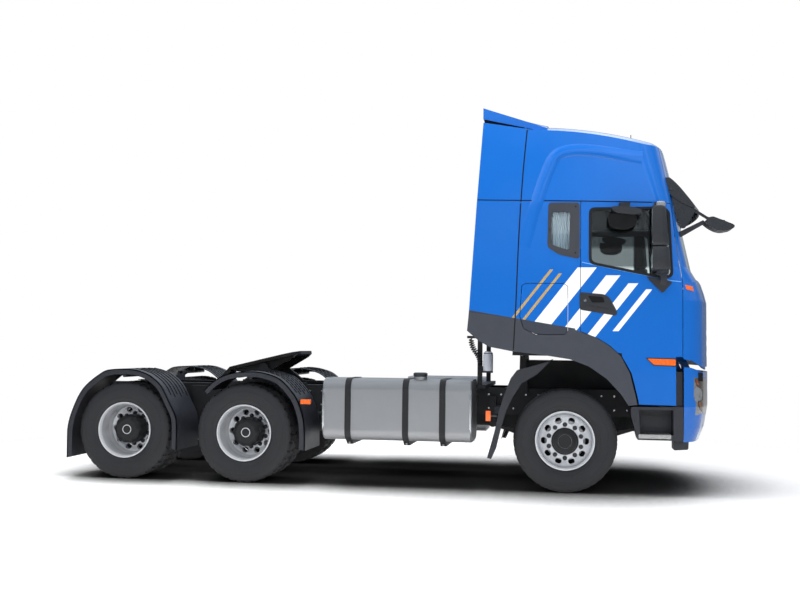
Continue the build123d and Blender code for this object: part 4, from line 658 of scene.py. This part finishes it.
def seen_from(outline, middle, count):
    """An outline as equally turned points round a middle that sees all of it."""
    result = []
    for step in range(count):
        way = Vector((cos(2 * pi * step / count), sin(2 * pi * step / count)))
        far = 0.0
        for a, b in zip(outline, outline[1:] + outline[:1]):
            start = Vector(a) - Vector(middle)
            edge = Vector(b) - Vector(a)
            cross = way.x * edge.y - way.y * edge.x
            if abs(cross) < 1e-9:
                continue
            reach = (start.x * edge.y - start.y * edge.x) / cross
            share = (start.x * way.y - start.y * way.x) / cross
            if reach > 0 and -1e-6 <= share <= 1 + 1e-6:
                far = max(far, reach)
        result.append((middle[0] + way.x * far, middle[1] + way.y * far))
    return result


quarter_grey = worn("quarter_grey", "2B2D33", "4A4C53", 0.5, 3.0, 0.26, coat=0.4)
for side_name, hand in SIDES:
    shape = bmesh.new()
    inner, outer = [seen_from(rounded(outline, radius), QUARTER_MIDDLE, QUARTER_POINTS)
                    for outline, radius in ((QUARTER_WINDOW, 0.03), (QUARTER_PANEL, 0.035))]
    sleeve(shape, inner, outer, -0.004, 0.003, on_side(hand))
    made("quarter_panel_" + side_name, "cab", quarter_grey, shape)
    shape = bmesh.new()
    for x, z in ((0.098, 2.429), (0.100, 2.900), (-0.160, 2.664)):
        turned(shape, [(0.0, 0.0), (0.0, 0.008), (hand * 0.007, 0.008), (hand * 0.008, 0.0)],
               (x, hand * (flank(z) - 0.001), z), 12)
    made("quarter_screws_" + side_name, "cab", deep_black_and_shade, shape)
trim_grey = worn("trim_grey", "34373F", "50535B", 0.3, 9.0, 0.42, 0.12)
dress(trim_grey, "cab_trims")

# ---- Sun visor ----
# One smoked acrylic blade, bolted through a rubber-ringed fastener at each end.
visor_smoke = worn("visor_smoke", "1B1D21", "2C2F35", 0.4, 3.0, 0.16, coat=0.6)
VISOR_HALF = 1.085
VISOR_CENTRE = 1.430 - 4.0
VISOR_SWEEP = 0.2747
VISOR_STEPS = 32


def bowed(a, b, c, steps=8):
    """Points of a smooth bow from a to c by way of b."""
    result = []
    for step in range(steps + 1):
        t = step / steps
        middle = 2 * Vector(b) - (Vector(a) + Vector(c)) / 2
        spot = Vector(a) * (1 - t) ** 2 + middle * 2 * t * (1 - t) + Vector(c) * t ** 2
        result.append((spot.x, spot.y))
    return result


BLADE = [(1.100, 3.190), (1.100, 3.209), (1.180, 3.210),
         *bowed((1.185, 3.209), (1.297, 3.100), (1.436, 2.914)),
         (1.420, 2.902), *bowed((1.418, 2.905), (1.281, 3.088), (1.168, 3.192))]
CHEEK = [(0.952, 3.209), (1.035, 3.210), *bowed((1.040, 3.209), (1.150, 3.100), (1.289, 2.914)),
         (1.283, 2.893), *bowed((1.280, 2.894), (1.077, 3.008), (0.952, 3.177))]
VISOR_STAY = [(1.060, 3.050), (1.072, 2.960), (1.108, 2.809), (1.159, 2.690), (1.190, 2.690), (1.242, 2.764),
              (1.284, 2.860), (1.283, 2.905), (1.150, 3.020)]
shape = bmesh.new()
rings = []
for step in range(VISOR_STEPS + 1):
    lean = (2 * step / VISOR_STEPS - 1) * VISOR_SWEEP
    rings.append([(VISOR_CENTRE + (x - VISOR_CENTRE) * cos(lean), (x - VISOR_CENTRE) * sin(lean), z)
                  for x, z in BLADE])
lofted(shape, rings)
for hand in (-1, 1):
    plate(shape, CHEEK, VISOR_HALF - 0.016, VISOR_HALF, at_y(hand))
    plate(shape, rounded(VISOR_STAY, 0.02), VISOR_HALF - 0.032, VISOR_HALF - 0.016, at_y(hand))
    turned(shape, [(0.0, 0.0), (0.0, 0.020), (hand * 0.010, 0.020), (hand * 0.012, 0.012),
                   (hand * 0.012, 0.0)],
           (1.052, hand * (VISOR_HALF - 0.002), 3.080), 20)
visor = made("smoked_visor", "cab", visor_smoke, shape)
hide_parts("sun_visor")

# ---- Cab interior ----
# Cloth seats and bunk, a grained moulded dash, and a pleated curtain behind the quarter window.
seat_cloth = worn("seat_cloth", "3B3D42", "55575C", 0.3, 60.0, 0.8, 0.3)
dress(seat_cloth, "seats")
dash_plastic = worn("dash_plastic", "2A2B2E", "404145", 0.3, 30.0, 0.55, 0.2)
dress(dash_plastic, "dashboard", "steering_wheel")
curtain_cloth = worn("curtain_cloth", "C9D2DA", "A9B4BE", 0.4, 30.0, 0.85, 0.2)
CURTAIN_LOW, CURTAIN_HIGH = 2.40, 2.88
CURTAIN_BACK, CURTAIN_FRONT = -0.20, 0.10
PLEATS = 9
PLEAT_DEEP = 0.012
PLEAT_STEPS = 8
CURTAIN_OUT = 1.176


def oblong(back, low, front, high):
    """The outline of an upright oblong."""
    return [(back, low), (front, low), (front, high), (back, high)]


for side_name, hand in SIDES:
    shape = bmesh.new()
    across = []
    for step in range(PLEATS * PLEAT_STEPS + 1):
        share = step / (PLEATS * PLEAT_STEPS)
        x = CURTAIN_BACK + (CURTAIN_FRONT - CURTAIN_BACK) * share
        across.append((x, CURTAIN_OUT + PLEAT_DEEP * sin(2 * pi * PLEATS * share)))
    low_row = [shape.verts.new((x, hand * y, CURTAIN_LOW)) for x, y in across]
    high_row = [shape.verts.new((x, hand * y, CURTAIN_HIGH)) for x, y in across]
    for at in range(len(across) - 1):
        shape.faces.new((low_row[at], low_row[at + 1], high_row[at + 1], high_row[at]))
    curtain = made("quarter_curtain_" + side_name, "cab", curtain_cloth, shape, 60)
    slab("curtain_rail_" + side_name, "cab", dash_plastic,
         oblong(CURTAIN_BACK - 0.02, CURTAIN_HIGH - 0.012, CURTAIN_FRONT + 0.02, CURTAIN_HIGH + 0.012),
         1.16, 1.222, at_y(hand))

# ---- Glass ----
# Tinted safety glass bonded in the walls; the upper part of each door's pane is darker: painted shade.
def glass_of(name):
    """A clear glass: its material, its shader and its node tree."""
    material, shader, tree = finish_of(name, "DCE6E8", 0.0)
    shader.inputs["Transmission Weight"].default_value = 1.0
    shader.inputs["IOR"].default_value = 1.3
    return material, shader, tree


cab_glass, glass_shader, glass_tree = glass_of("tinted_glass")
glass_haze = node(glass_tree, "TexNoise", {"Scale": 2.5})
glass_tree.links.new(mix_colours(glass_tree, glass_haze.outputs["Fac"], tone("E2EAEC"), tone("D2DEE0")),
                     glass_shader.inputs["Base Color"])
dress(cab_glass, "cab_glass")
door_glass, pane_shader, pane_tree = glass_of("glass_with_painted_shade")
# Darker above a height on the pane: painted shade.
pane_painted_shade = map_range(pane_tree, object_axes(pane_tree)["Z"], 2.46, 2.50)
pane_tree.links.new(mix_colours(pane_tree, pane_painted_shade.outputs[0], tone("E6EEEE"), tone("7C8487")),
                    pane_shader.inputs["Base Color"])
dress(door_glass, "door_glass_right", "door_glass_left")

# ---- Mirrors ----
# Black moulded heads on arms from each door, with bright glass set in the back of each and a grey cap
# on top. A kerb mirror stands over each door, and one more looks down at the cab's front.
# Columns: low, high, nose at the low end, nose at the high end.
MIRROR_HEADS = [(2.240, 2.472, 1.022, 1.006), (2.480, 2.872, 1.004, 0.976)]
KERB_HOOD = [(0.440, 2.863), (0.507, 2.869), (0.670, 2.857), (0.742, 2.825), (0.731, 2.792), (0.660, 2.782),
             (0.497, 2.800), (0.461, 2.826)]
KERB_HEAD = [(0.418, 2.797), (0.680, 2.797), *bowed((0.682, 2.780), (0.688, 2.703), (0.640, 2.665)),
             *bowed((0.620, 2.657), (0.560, 2.651), (0.480, 2.660)),
             *bowed((0.465, 2.668), (0.424, 2.712), (0.418, 2.790))]
FRONT_HEAD = [*bowed((1.383, 2.745), (1.420, 2.792), (1.470, 2.800)), (1.600, 2.747),
              *bowed((1.620, 2.738), (1.669, 2.704), (1.625, 2.668)),
              *bowed((1.600, 2.664), (1.500, 2.666), (1.390, 2.735))]
FRONT_ARMS = [[(1.140, 2.935), (1.240, 2.930), (1.420, 2.812), (1.590, 2.775), (1.590, 2.752), (1.410, 2.788),
               (1.232, 2.906), (1.140, 2.912)],
              [(1.060, 2.640), (1.108, 2.644), (1.375, 2.778), (1.405, 2.750), (1.150, 2.602),
               (1.060, 2.600)]]
mirror_face = worn("mirror_face", "E4E8EA", "D4D8DA", 0.2, 2.0, 0.01, metal=1.0)
cap_grey = worn("cap_grey", "8D9096", "6E7177", 0.4, 12.0, 0.36)
# Columns: share of a head's height, share of its full section there.
HEAD_RINGS = [(0.0, 0.86), (0.03, 0.95), (0.08, 1.0), (0.5, 1.0), (0.92, 1.0), (0.97, 0.95), (1.0, 0.86)]
HEAD_BACK, HEAD_SHOULDER, HEAD_OUT, HEAD_HALF = 0.842, 0.922, 1.395, 0.095
for side_name, hand in SIDES:
    door = "door_" + side_name
    shape = bmesh.new()
    for low, high, low_nose, high_nose in MIRROR_HEADS:
        rings = []
        for share, shrink in HEAD_RINGS:
            nose = low_nose + (high_nose - low_nose) * share
            ring = [(HEAD_BACK, HEAD_OUT - HEAD_HALF)]
            for step in range(13):
                turn = pi * step / 12
                ring.append((HEAD_SHOULDER + (nose - HEAD_SHOULDER) * sin(turn),
                             HEAD_OUT - HEAD_HALF * cos(turn)))
            ring.append((HEAD_BACK, HEAD_OUT + HEAD_HALF))
            rings.append([(HEAD_BACK + (x - HEAD_BACK) * shrink, hand * (HEAD_OUT + (y - HEAD_OUT) * shrink),
                           low + (high - low) * share) for x, y in ring])
        lofted(shape, rings)
    for x, low, high, radius in ((0.922, 2.468, 2.484, 0.060), (0.942, 2.204, 2.244, 0.062)):
        turned(shape, drum(low, high, radius), (x, hand * HEAD_OUT, 0.0), 24, "z")
    plate(shape, [(hand * 1.262, 2.172), (hand * 1.320, 2.250), (hand * 1.415, 2.250), (hand * 1.415, 2.212),
                  (hand * 1.340, 2.190), (hand * 1.262, 2.090)], 0.930, 0.994, at_x)
    for outline, low, high in (
            (rounded(oblong(0.865, 2.870, 0.965, 2.916), 0.012), 1.226, HEAD_OUT),
            (rounded([(0.791, 2.189), (1.051, 2.132), (0.954, 2.021)], 0.02), 1.240, 1.274),
            ([(0.526, 2.921), (0.636, 2.920), (0.624, 2.855), (0.552, 2.855)], 1.226, 1.350),
            (rounded(KERB_HOOD, 0.02), 1.300, 1.480)):
        plate(shape, outline, low, high, at_y(hand))
    heads = made("mirror_heads_" + side_name, door, handle_black, shape, 40)
    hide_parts("mirrors_" + side_name)
    slab("kerb_mirror_" + side_name, door, deep_black_and_shade, KERB_HEAD, 1.340, 1.450, at_y(hand))
    spun("mirror_cap_" + side_name, door, cap_grey,
         [(2.870, 0.0), (2.870, 0.046), (2.908, 0.044), (2.920, 0.034), (2.920, 0.0)],
         (0.926, hand * HEAD_OUT, 0.0), 28, "z")
    shape = bmesh.new()
    for low, high in ((2.262, 2.450), (2.502, 2.850)):
        plate(shape, rounded(oblong(hand * 1.318, low, hand * 1.472, high), 0.022), 0.8395, 0.845, at_x)
    made("mirror_faces_" + side_name, door, mirror_face, shape)
shape = bmesh.new()
plate(shape, FRONT_HEAD, 0.900, 1.120, at_y(-1))
for arm in FRONT_ARMS:
    plate(shape, arm, 0.999, 1.021, at_y(-1))
front_head = made("front_mirror_head", "cab", handle_black, shape, 40)
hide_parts("front_mirror")

# ---- Frame, axles and running gear ----
# Pressed steel rails bolted to their crossmembers, with axles, springs and brackets, all in satin
# black chassis paint.
chassis_black = worn("chassis_black", "0F0F11", "202022", 0.5, 6.0, 0.4, 0.2)
dress(chassis_black, "frame_rails", "crossmembers", "propshafts", "drive_axles", "leaf_springs", "front_axle",
      "knuckle_right", "knuckle_left", "fifth_wheel_base", "cab_mounts", "tank_straps", "air_tanks",
      "catwalk")
engine_iron = worn("engine_iron", "28292B", "1A1A1B", 0.6, 8.0, 0.5, 0.3, metal=0.3)
dress(engine_iron, "engine")
# Bright bolt heads in two rows along the outside of each rail.
RAIL_OUT = 0.425
shape = bmesh.new()
for hand in (-1, 1):
    for step in range(46):
        for z in (0.80, 0.95):
            turned(shape, drum(0.0, hand * 0.009, 0.011), (-5.15 + 0.135 * step, hand * RAIL_OUT, z), 6)
made("rail_bolts", "chassis", bright_steel, shape)

# ---- Dryer canister ----
# A spun white filter canister that stands on the shelf behind the cab.
canister_white = worn("canister_white", "D5D9E2", "AEB3BF", 0.4, 8.0, 0.28, coat=0.5)
spun("dryer_canister", "chassis", canister_white,
     [(0.0, 0.0), (0.0, 0.0505), (0.02, 0.053), (0.17, 0.053), (0.196, 0.046), (0.2105, 0.030),
      (0.2105, 0.0)], (-0.819, -0.700, 1.2105), 40, "z")

# ---- Guards, steps and boxes ----
# Grained black plastic mouldings; the guards' crowns carry rows of raised grip cleats.
guard_black = worn("guard_black", "202228", "3A3C44", 0.35, 7.0, 0.34, 0.12)
dress(guard_black, "front_fenders", "step_boxes", "battery_box")
AXLE_Z = 0.525
MID_AXLE, REAR_AXLE = -3.37, -4.72
# Arch points from each axle, ahead and up: rear foot first.
REAR_ARCH = [(-0.646, -0.316), (-0.646, -0.009), (-0.592, 0.211), (-0.474, 0.442), (-0.278, 0.607),
             (-0.150, 0.655), (0.090, 0.659), (0.230, 0.625), (0.320, 0.580), (0.430, 0.480),
             (0.531, 0.296), (0.600, 0.154), (0.614, -0.003), (0.614, -0.203)]
MID_ARCH = [(-0.440, 0.446), (-0.355, 0.530), (-0.261, 0.592), (-0.177, 0.624), (-0.049, 0.649),
            (0.142, 0.655), (0.289, 0.626), (0.400, 0.580), (0.503, 0.486), (0.592, 0.365), (0.656, 0.190),
            (0.676, 0.040), (0.680, -0.169)]
GUARD_RADIUS = 0.66
GUARD_OUT = 1.250
shape = bmesh.new()
for axle, arch, post in ((REAR_AXLE, REAR_ARCH, -0.02), (MID_AXLE, MID_ARCH, 0.06)):
    over = [(max(x, REAR_ARCH[0][0]), z) for x, z in faired(arch, 5)]
    for hand in (-1, 1):
        for inset, near in ((0.012, 0.615), (0.060, 1.226)):
            under = 1 - inset / GUARD_RADIUS
            lofted(shape, [[(axle + x, hand * near, AXLE_Z + z), (axle + x, hand * GUARD_OUT, AXLE_Z + z),
                            (axle + x * under, hand * GUARD_OUT, AXLE_Z + z * under),
                            (axle + x * under, hand * near, AXLE_Z + z * under)] for x, z in over])
        foot = axle + post
        plate(shape, oblong(foot - 0.045, 0.88, foot + 0.045, 1.13), RAIL_OUT, RAIL_OUT + 0.03, at_y(hand))
        turned(shape, drum(hand * RAIL_OUT, hand * 1.205, 0.018), (foot, 0.0, 1.112), 16)
        plate(shape, oblong(foot - 0.020, 1.112, foot + 0.020, 1.178), 0.800, 0.840, at_y(hand))
guards = made("arch_guards", "chassis", guard_black, shape, 40)
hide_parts("mudguards")
bpy.context.view_layer.update()
# Cleats: length, width and height of one, rows across a guard, cleats in a row, and the angles above
# level on its front crown between which they stand.
CLEAT_LONG, CLEAT_WIDE, CLEAT_HIGH = 0.055, 0.013, 0.006
CLEAT_ROWS, ROW_CLEATS = 6, 9
CLEATS_FROM, CLEATS_TO = 38, 84
shape = bmesh.new()
for axle in (MID_AXLE, REAR_AXLE):
    for hand in (-1, 1):
        for row in range(CLEAT_ROWS):
            for step in range(ROW_CLEATS):
                share = (step + 0.5 * (row % 2)) / ROW_CLEATS
                lean = radians(CLEATS_FROM + (CLEATS_TO - CLEATS_FROM) * share)
                out = Vector((cos(lean), 0.0, sin(lean)))
                start = Vector((AXLE_X + axle, hand * (0.68 + 0.088 * row), AXLE_Z)) + out
                hit, spot, normal, face = guards.ray_cast(start, -out)
                if not hit or normal.dot(out) < 0.6:
                    continue
                along = Vector((normal.z, 0.0, -normal.x)).normalized() * CLEAT_LONG / 2
                wide = Vector((0.0, CLEAT_WIDE / 2, 0.0))
                spot = spot - Vector((AXLE_X, 0.0, 0.0))
                corners = [spot + along * a + wide * b for a, b in ((-1, -1), (1, -1), (1, 1), (-1, 1))]
                lofted(shape, [[corner + normal * rise for corner in corners]
                               for rise in (-0.002, CLEAT_HIGH)])
made("guard_cleats", "chassis", deep_black_and_shade, shape)
# Serrated aluminium treads and a lidded cover on each step.
tread_alloy = worn("tread_alloy", "C4C4C1", "8F8F8C", 0.5, 20.0, 0.36, metal=0.8)
TREAD_OUT = 1.2425
for side_name, hand in SIDES:
    shape = bmesh.new()
    plate(shape, oblong(0.722, 0.577, 1.036, 0.6145), 1.20, TREAD_OUT, at_y(hand))
    for step in range(22):
        x = 0.729 + 0.0142 * step
        plate(shape, [(x, 0.6140), (x + 0.008, 0.6140), (x + 0.004, 0.6225)], 1.03, TREAD_OUT, at_y(hand))
    made("step_tread_" + side_name, "chassis", tread_alloy, shape)
    slab("step_cover_" + side_name, "chassis", handle_black,
         rounded(oblong(0.761, 0.670, 0.933, 0.796), 0.012), 1.015, 1.026, at_y(hand))

# ---- Fuel tank and exhaust box ----
# Rolled brushed aluminium with bright pressed end rims, a black cap on its neck, and bright strap nuts.
tank_alloy = worn("tank_alloy", "A4A5A7", "8A8B8E", 0.35, 3.0, 0.34, metal=0.85)
dress(tank_alloy, "fuel_tank", "exhaust_box")
TANK_SECTION = oblong(-0.600, 0.480, -1.238, 1.120)
RIM_INNER = rounded(grown(TANK_SECTION, -0.010), 0.19, 10)
RIM_OUTER = rounded(grown(TANK_SECTION, 0.005), 0.20, 10)
shape = bmesh.new()
for low, high in ((-0.966, -0.946), (-2.509, -2.489)):
    sleeve(shape, RIM_INNER, RIM_OUTER, low, high, at_x)
made("tank_end_rims", "chassis", bright_steel, shape)
spun("tank_cap", "chassis", handle_black,
     [(0.0, 0.0), (0.0, 0.058), (0.012, 0.074), (0.036, 0.074), (0.044, 0.060), (0.044, 0.0)],
     (-1.495, -1.090, 1.148), 36, "z")
shape = bmesh.new()
for x in (-2.238, -1.629, -1.244):
    turned(shape, [(0.0, 0.0), (0.0, 0.017), (-0.014, 0.017), (-0.014, 0.008), (-0.026, 0.008),
                   (-0.026, 0.0)], (x, -1.099, 0.452), 6)
made("strap_nuts", "chassis", bright_steel, shape)

# ---- Fifth wheel plate ----
# A cast steel plate with a greased, worn top, which rocks on two pins across the frame.
plate_cast = worn("plate_cast", "121213", "2C2A28", 0.5, 9.0, 0.3, 0.3, metal=0.4)
dress(plate_cast, "fifth_wheel_plate")

# ---- Bumper, headlamps and side markers ----
# Clear lamps in the bumper's corners under smoked covers with amber lobes, amber lamps on the cab's
# corners, and amber markers on black stems along the chassis.
lamp_clear = worn("lamp_clear", "4A4C50", "B4B8BC", 0.8, 9.0, 0.06, metal=0.4, coat=1.0)
dress(lamp_clear, "headlamps")


def draped(shape, outline, hand, targets, rise, step=0.006):
    """A skin laid over CAD nodes inside a side-view outline, looked at from the side and lifted by rise."""
    xs, zs = [p[0] for p in outline], [p[1] for p in outline]
    across, up = int((max(xs) - min(xs)) / step) + 2, int((max(zs) - min(zs)) / step) + 2
    grid = {}
    for i in range(across):
        for j in range(up):
            x, z = min(xs) + i * step, min(zs) + j * step
            inside = False
            for a, b in zip(outline, outline[1:] + outline[:1]):
                if (a[1] > z) != (b[1] > z) and x < (b[0] - a[0]) * (z - a[1]) / (b[1] - a[1]) + a[0]:
                    inside = not inside
            best = None
            start, way = Vector((AXLE_X + x, hand * 2.0, z)), Vector((0.0, -hand, 0.0))
            for target in targets:
                hit, spot, normal, face = nodes[target].ray_cast(start, way)
                if hit and abs(spot.y) > 0.8 and (best is None or abs(spot.y) > abs(best[0].y)):
                    best = (spot.copy(), normal.copy())
            if inside and best:
                grid[i, j] = shape.verts.new(best[0] + best[1] * rise - Vector((AXLE_X, 0, 0)))
    for (i, j) in list(grid):
        corners = [grid.get(key) for key in ((i, j), (i + 1, j), (i + 1, j + 1), (i, j + 1))]
        if all(corners):
            shape.faces.new(corners)
    for vert in [v for v in shape.verts if not v.link_faces]:
        shape.verts.remove(vert)


LAMP_SIDE = [(1.296, 1.184), (1.266, 1.170), (1.270, 1.137), (1.288, 1.097), (1.333, 1.070), (1.348, 1.040),
             (1.351, 1.018), (1.345, 0.967), (1.298, 0.957), (1.302, 0.908), (1.322, 0.866), (1.369, 0.822),
             (1.520, 0.812), (1.520, 1.184)]
LOBE_EDGES = [[(1.276, 1.165), (1.300, 1.168), (1.312, 1.110), (1.290, 1.105), (1.278, 1.140)],
              [(1.304, 0.948), (1.330, 0.950), (1.338, 0.890), (1.316, 0.890), (1.306, 0.915)]]
# Pale strip on the bumper's rounded front corner: a painted highlight.
BUMPER_HIGHLIGHT = [(1.404, 0.736), (1.385, 0.723), (1.370, 0.646), (1.350, 0.585), (1.374, 0.585), (1.398, 0.659),
              (1.412, 0.730)]
lens_dark = worn("lens_dark", "1D1A1A", "6B5344", 0.6, 14.0, 0.08, coat=1.0)
lobe_amber = worn("lobe_amber", "7A3A16", "A85A24", 0.5, 30.0, 0.14, coat=1.0)
lip_painted_highlight = worn("lip_painted_highlight", "E9EBEE", "CFD2D6", 0.4, 12.0, 0.28, coat=0.6)
BUMPER_NODES = ("bumper", "headlamps")
CORNER_NODES = ("corner_panels", "cab_shell", "front_panel")
CORNER_LAMP = [(1.168, 2.112), (1.255, 2.096), (1.262, 2.040), (1.180, 2.060)]
BUMPER_FOOT = [(1.066, 0.458), (1.212, 0.468), (1.216, 0.565), (1.066, 0.562)]
# Columns: name, body, outlines, nodes they lie on, finish, height off them, slot.
DRAPED_SKINS = [
    ("lamp_cover_", "chassis", [LAMP_SIDE], BUMPER_NODES, lens_dark, 0.003, "lamp_glass"),
    ("lamp_lobes_", "chassis", LOBE_EDGES, BUMPER_NODES, lobe_amber, 0.005, "lamp_glass"),
    ("bumper_corner_highlight_", "chassis", [BUMPER_HIGHLIGHT], BUMPER_NODES, lip_painted_highlight, 0.003, "dark_trim"),
    ("corner_lamp_", "cab", [CORNER_LAMP], CORNER_NODES, amber_lens, 0.003, "lamp_glass"),
]
for side_name, hand in SIDES:
    for name, body, outlines, targets, finish, rise, slot in DRAPED_SKINS:
        shape = bmesh.new()
        for outline in outlines:
            draped(shape, outline, hand, targets, rise)
        made(name + side_name, body, finish, shape, 50)
    slab("bumper_foot_" + side_name, "chassis", handle_black, rounded(BUMPER_FOOT, 0.02),
         0.98, 1.15, at_y(hand))
# Black closing strip under the cab's front edge, inside the bumper.
slab("bumper_closing_strip", "chassis", deep_black_and_shade, oblong(1.172, 1.150, 1.350, 1.236),
     -1.170, 1.170, at_y(1))
# Amber markers on black stems, ahead of the middle guards.
for side_name, hand in SIDES:
    slab("middle_marker_" + side_name, "chassis", amber_lens,
         rounded(oblong(-2.748, 0.845, -2.640, 0.895), 0.010), 1.200, 1.236, at_y(hand))
    slab("middle_marker_stem_" + side_name, "chassis", deep_black_and_shade,
         oblong(-2.815, 0.862, -2.740, 0.878), 1.205, 1.230, at_y(hand))
# A short black antenna on the roof's front.
spun("roof_antenna", "cab", deep_black_and_shade,
     [(3.780, 0.0), (3.780, 0.022), (3.800, 0.016), (3.812, 0.005), (3.880, 0.004), (3.880, 0.0)],
     (0.719, 0.0, 0.0), 16, "z")
marker, marker_shader, marker_tree = finish_of("side_marker", "E8641A", 0.2, 0.0, 1.0)
marker_x = object_axes(marker_tree)["X"]
# Black where the markers' two stems lie, red on the lamps at the tail, amber on all the others.
front_stem = between(marker_tree, marker_x, AXLE_X - 0.748, AXLE_X - 0.60)
middle_stem = between(marker_tree, marker_x, AXLE_X - 2.90, AXLE_X - 2.7475)
stem_mask = math_node(marker_tree, "MAXIMUM", front_stem, middle_stem)
tail_mask = below(marker_tree, marker_x, AXLE_X - 4.0)
lens_colour = mix_colours(marker_tree, tail_mask, tone("F2681A"), tone("8C0F10"))
marker_tree.links.new(mix_colours(marker_tree, stem_mask, lens_colour, tone("0D0D0E")),
                      marker_shader.inputs["Base Color"])
dress(marker, "lamps")

# ---- Wheels ----
# Pressed steel discs in silver paint, with dark nuts on washers and a black hub; the drive hubs have
# ten lobes. A dark disc on the inner side of each wheel is painted shade behind the hand holes.
wheel_silver = worn("wheel_silver", "D2D4D8", "A6A8AC", 0.3, 6.0, 0.3, metal=0.35)
nut_steel = worn("nut_steel", "36373A", "5A5B5E", 0.4, 30.0, 0.35, metal=0.7)
black_hub_and_shade = worn("black_hub_and_shade", "08080A", "19191C", 0.4, 12.0, 0.4)
NUT_RING = 0.168
NUTS = 10
# Columns: distance from the truck's middle, radius.
FRONT_HUB = [(1.184, 0.0), (1.184, 0.136), (1.200, 0.136), (1.206, 0.128), (1.208, 0.119), (1.228, 0.116),
             (1.236, 0.096), (1.2445, 0.088), (1.2445, 0.070), (1.240, 0.068), (1.244, 0.062), (1.2445, 0.0)]
DRIVE_HUB = [(0.938, 0.0), (0.938, 0.150), (0.975, 0.152), (1.118, 0.146), (1.138, 0.132), (1.157, 0.106),
             (1.157, 0.055), (1.150, 0.050), (1.1575, 0.0)]
# Columns: place off the disc's face, radius of washer, nut and stud.
NUT_PROFILE = [(-0.002, 0.0), (-0.002, 0.0235), (0.005, 0.0235), (0.005, 0.019), (0.027, 0.018),
               (0.030, 0.014), (0.030, 0.009), (0.042, 0.009), (0.042, 0.0)]
# Columns: axle's name, its place, distances of the tyre centres, face that the nuts sit on, hub profile.
AXLES = [
    ("front_", 0.0, (1.024,), 1.190, FRONT_HUB),
    ("mid_", MID_AXLE, (1.089, 0.759), 0.942, DRIVE_HUB),
    ("rear_", REAR_AXLE, (1.089, 0.759), 0.942, DRIVE_HUB),
]
WHEELS = [(axle[0] + side_name, hand, *axle[1:]) for axle in AXLES for side_name, hand in SIDES]
for name, hand, axle, centres, face, hub in WHEELS:
    body = "wheel_" + name
    dress(wheel_silver, body)
    shape = bmesh.new()
    for step in range(NUTS):
        lean = 2 * pi * (step + 0.5) / NUTS
        turned(shape, [(hand * (face + place), radius) for place, radius in NUT_PROFILE],
               (axle + NUT_RING * cos(lean), 0.0, AXLE_Z + NUT_RING * sin(lean)), 12)
    made("wheel_nuts_" + name, body, nut_steel, shape)
    shape = bmesh.new()
    turned(shape, [(hand * place, radius) for place, radius in hub], (axle, 0.0, AXLE_Z), 80)
    if hub is DRIVE_HUB:
        for vert in shape.verts:
            centre = Vector((axle, vert.co.y, AXLE_Z))
            out = vert.co - centre
            if out.length > 0.12:
                lobe = 0.5 + 0.5 * cos(NUTS * Vector((out.x, out.z)).angle_signed(Vector((1, 0)), 0.0))
                vert.co = centre + out * (1 + 0.055 * lobe)
    made("hub_cover_" + name, body, black_hub_and_shade, shape, 30)
    # The dark disc keeps the hand holes dark: painted shade.
    disc_place = min(centres) - 0.118
    shape = bmesh.new()
    turned(shape, [(hand * disc_place, 0.206), (hand * disc_place, 0.2765), (hand * (disc_place + 0.004), 0.2765),
                   (hand * (disc_place + 0.004), 0.206)], (axle, 0.0, AXLE_Z), 64, shut=True)
    made("shade_disc_" + name, body, black_hub_and_shade, shape)

# ---- Tyres ----
# Moulded radial tyres: rounded walls with raised rings, circumferential grooves and, on the drive
# axles, deep cross lugs.
tyre_rubber = worn("tyre_rubber", "1A1A1D", "38383B", 0.4, 5.0, 0.55, 0.15)
TYRE_WALL = [(0.104, 0.284), (0.113, 0.300), (0.124, 0.312), (0.1335, 0.326), (0.1395, 0.345),
             (0.1415, 0.346), (0.1420, 0.352), (0.1405, 0.353), (0.1445, 0.378), (0.1460, 0.402),
             (0.1450, 0.428), (0.1462, 0.429), (0.1460, 0.434), (0.1440, 0.435), (0.1400, 0.462),
             (0.1345, 0.482), (0.1255, 0.500), (0.1150, 0.512), (0.1040, 0.5195), (0.0900, 0.5240),
             (0.0740, 0.5250)]
TYRE_TREAD = [(0.0660, 0.5250), (0.0645, 0.5120), (0.0555, 0.5120), (0.0540, 0.5250), (0.0250, 0.5250),
              (0.0235, 0.5110), (0.0145, 0.5110), (0.0130, 0.5250)]
PITCHES = 36
# Columns: share of a pitch, 1 where the column lies in a cross groove.
PITCH_COLUMNS = [(0.0, 1), (0.05, 0), (0.72, 0), (0.77, 1)]
TYRE_HALF = TYRE_WALL + TYRE_TREAD
TYRE_PROFILE = TYRE_HALF + [(-place, radius) for place, radius in TYRE_HALF[::-1]]
for name, hand, axle, centres, face, hub in WHEELS:
    cut = 0.012 if hub is DRIVE_HUB else 0.004
    shape = bmesh.new()
    for centre in centres:
        columns = []
        for pitch in range(PITCHES):
            for share, groove in PITCH_COLUMNS:
                column = []
                for place, radius in TYRE_PROFILE:
                    turn = 2 * pi * (pitch + share + 1.2 * abs(place)) / PITCHES
                    low = cut if groove and radius > 0.508 and abs(place) > 0.05 else 0.0
                    reach = radius - (low if radius > 0.514 else min(low, 0.004))
                    column.append(shape.verts.new((axle + reach * cos(turn), hand * centre + place,
                                                   AXLE_Z + reach * sin(turn))))
                columns.append(column)
        skin(shape, columns + columns[:1])
    tyres = made("tyres_" + name, "wheel_" + name, tyre_rubber, shape, 28)
    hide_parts("tyre_" + name)
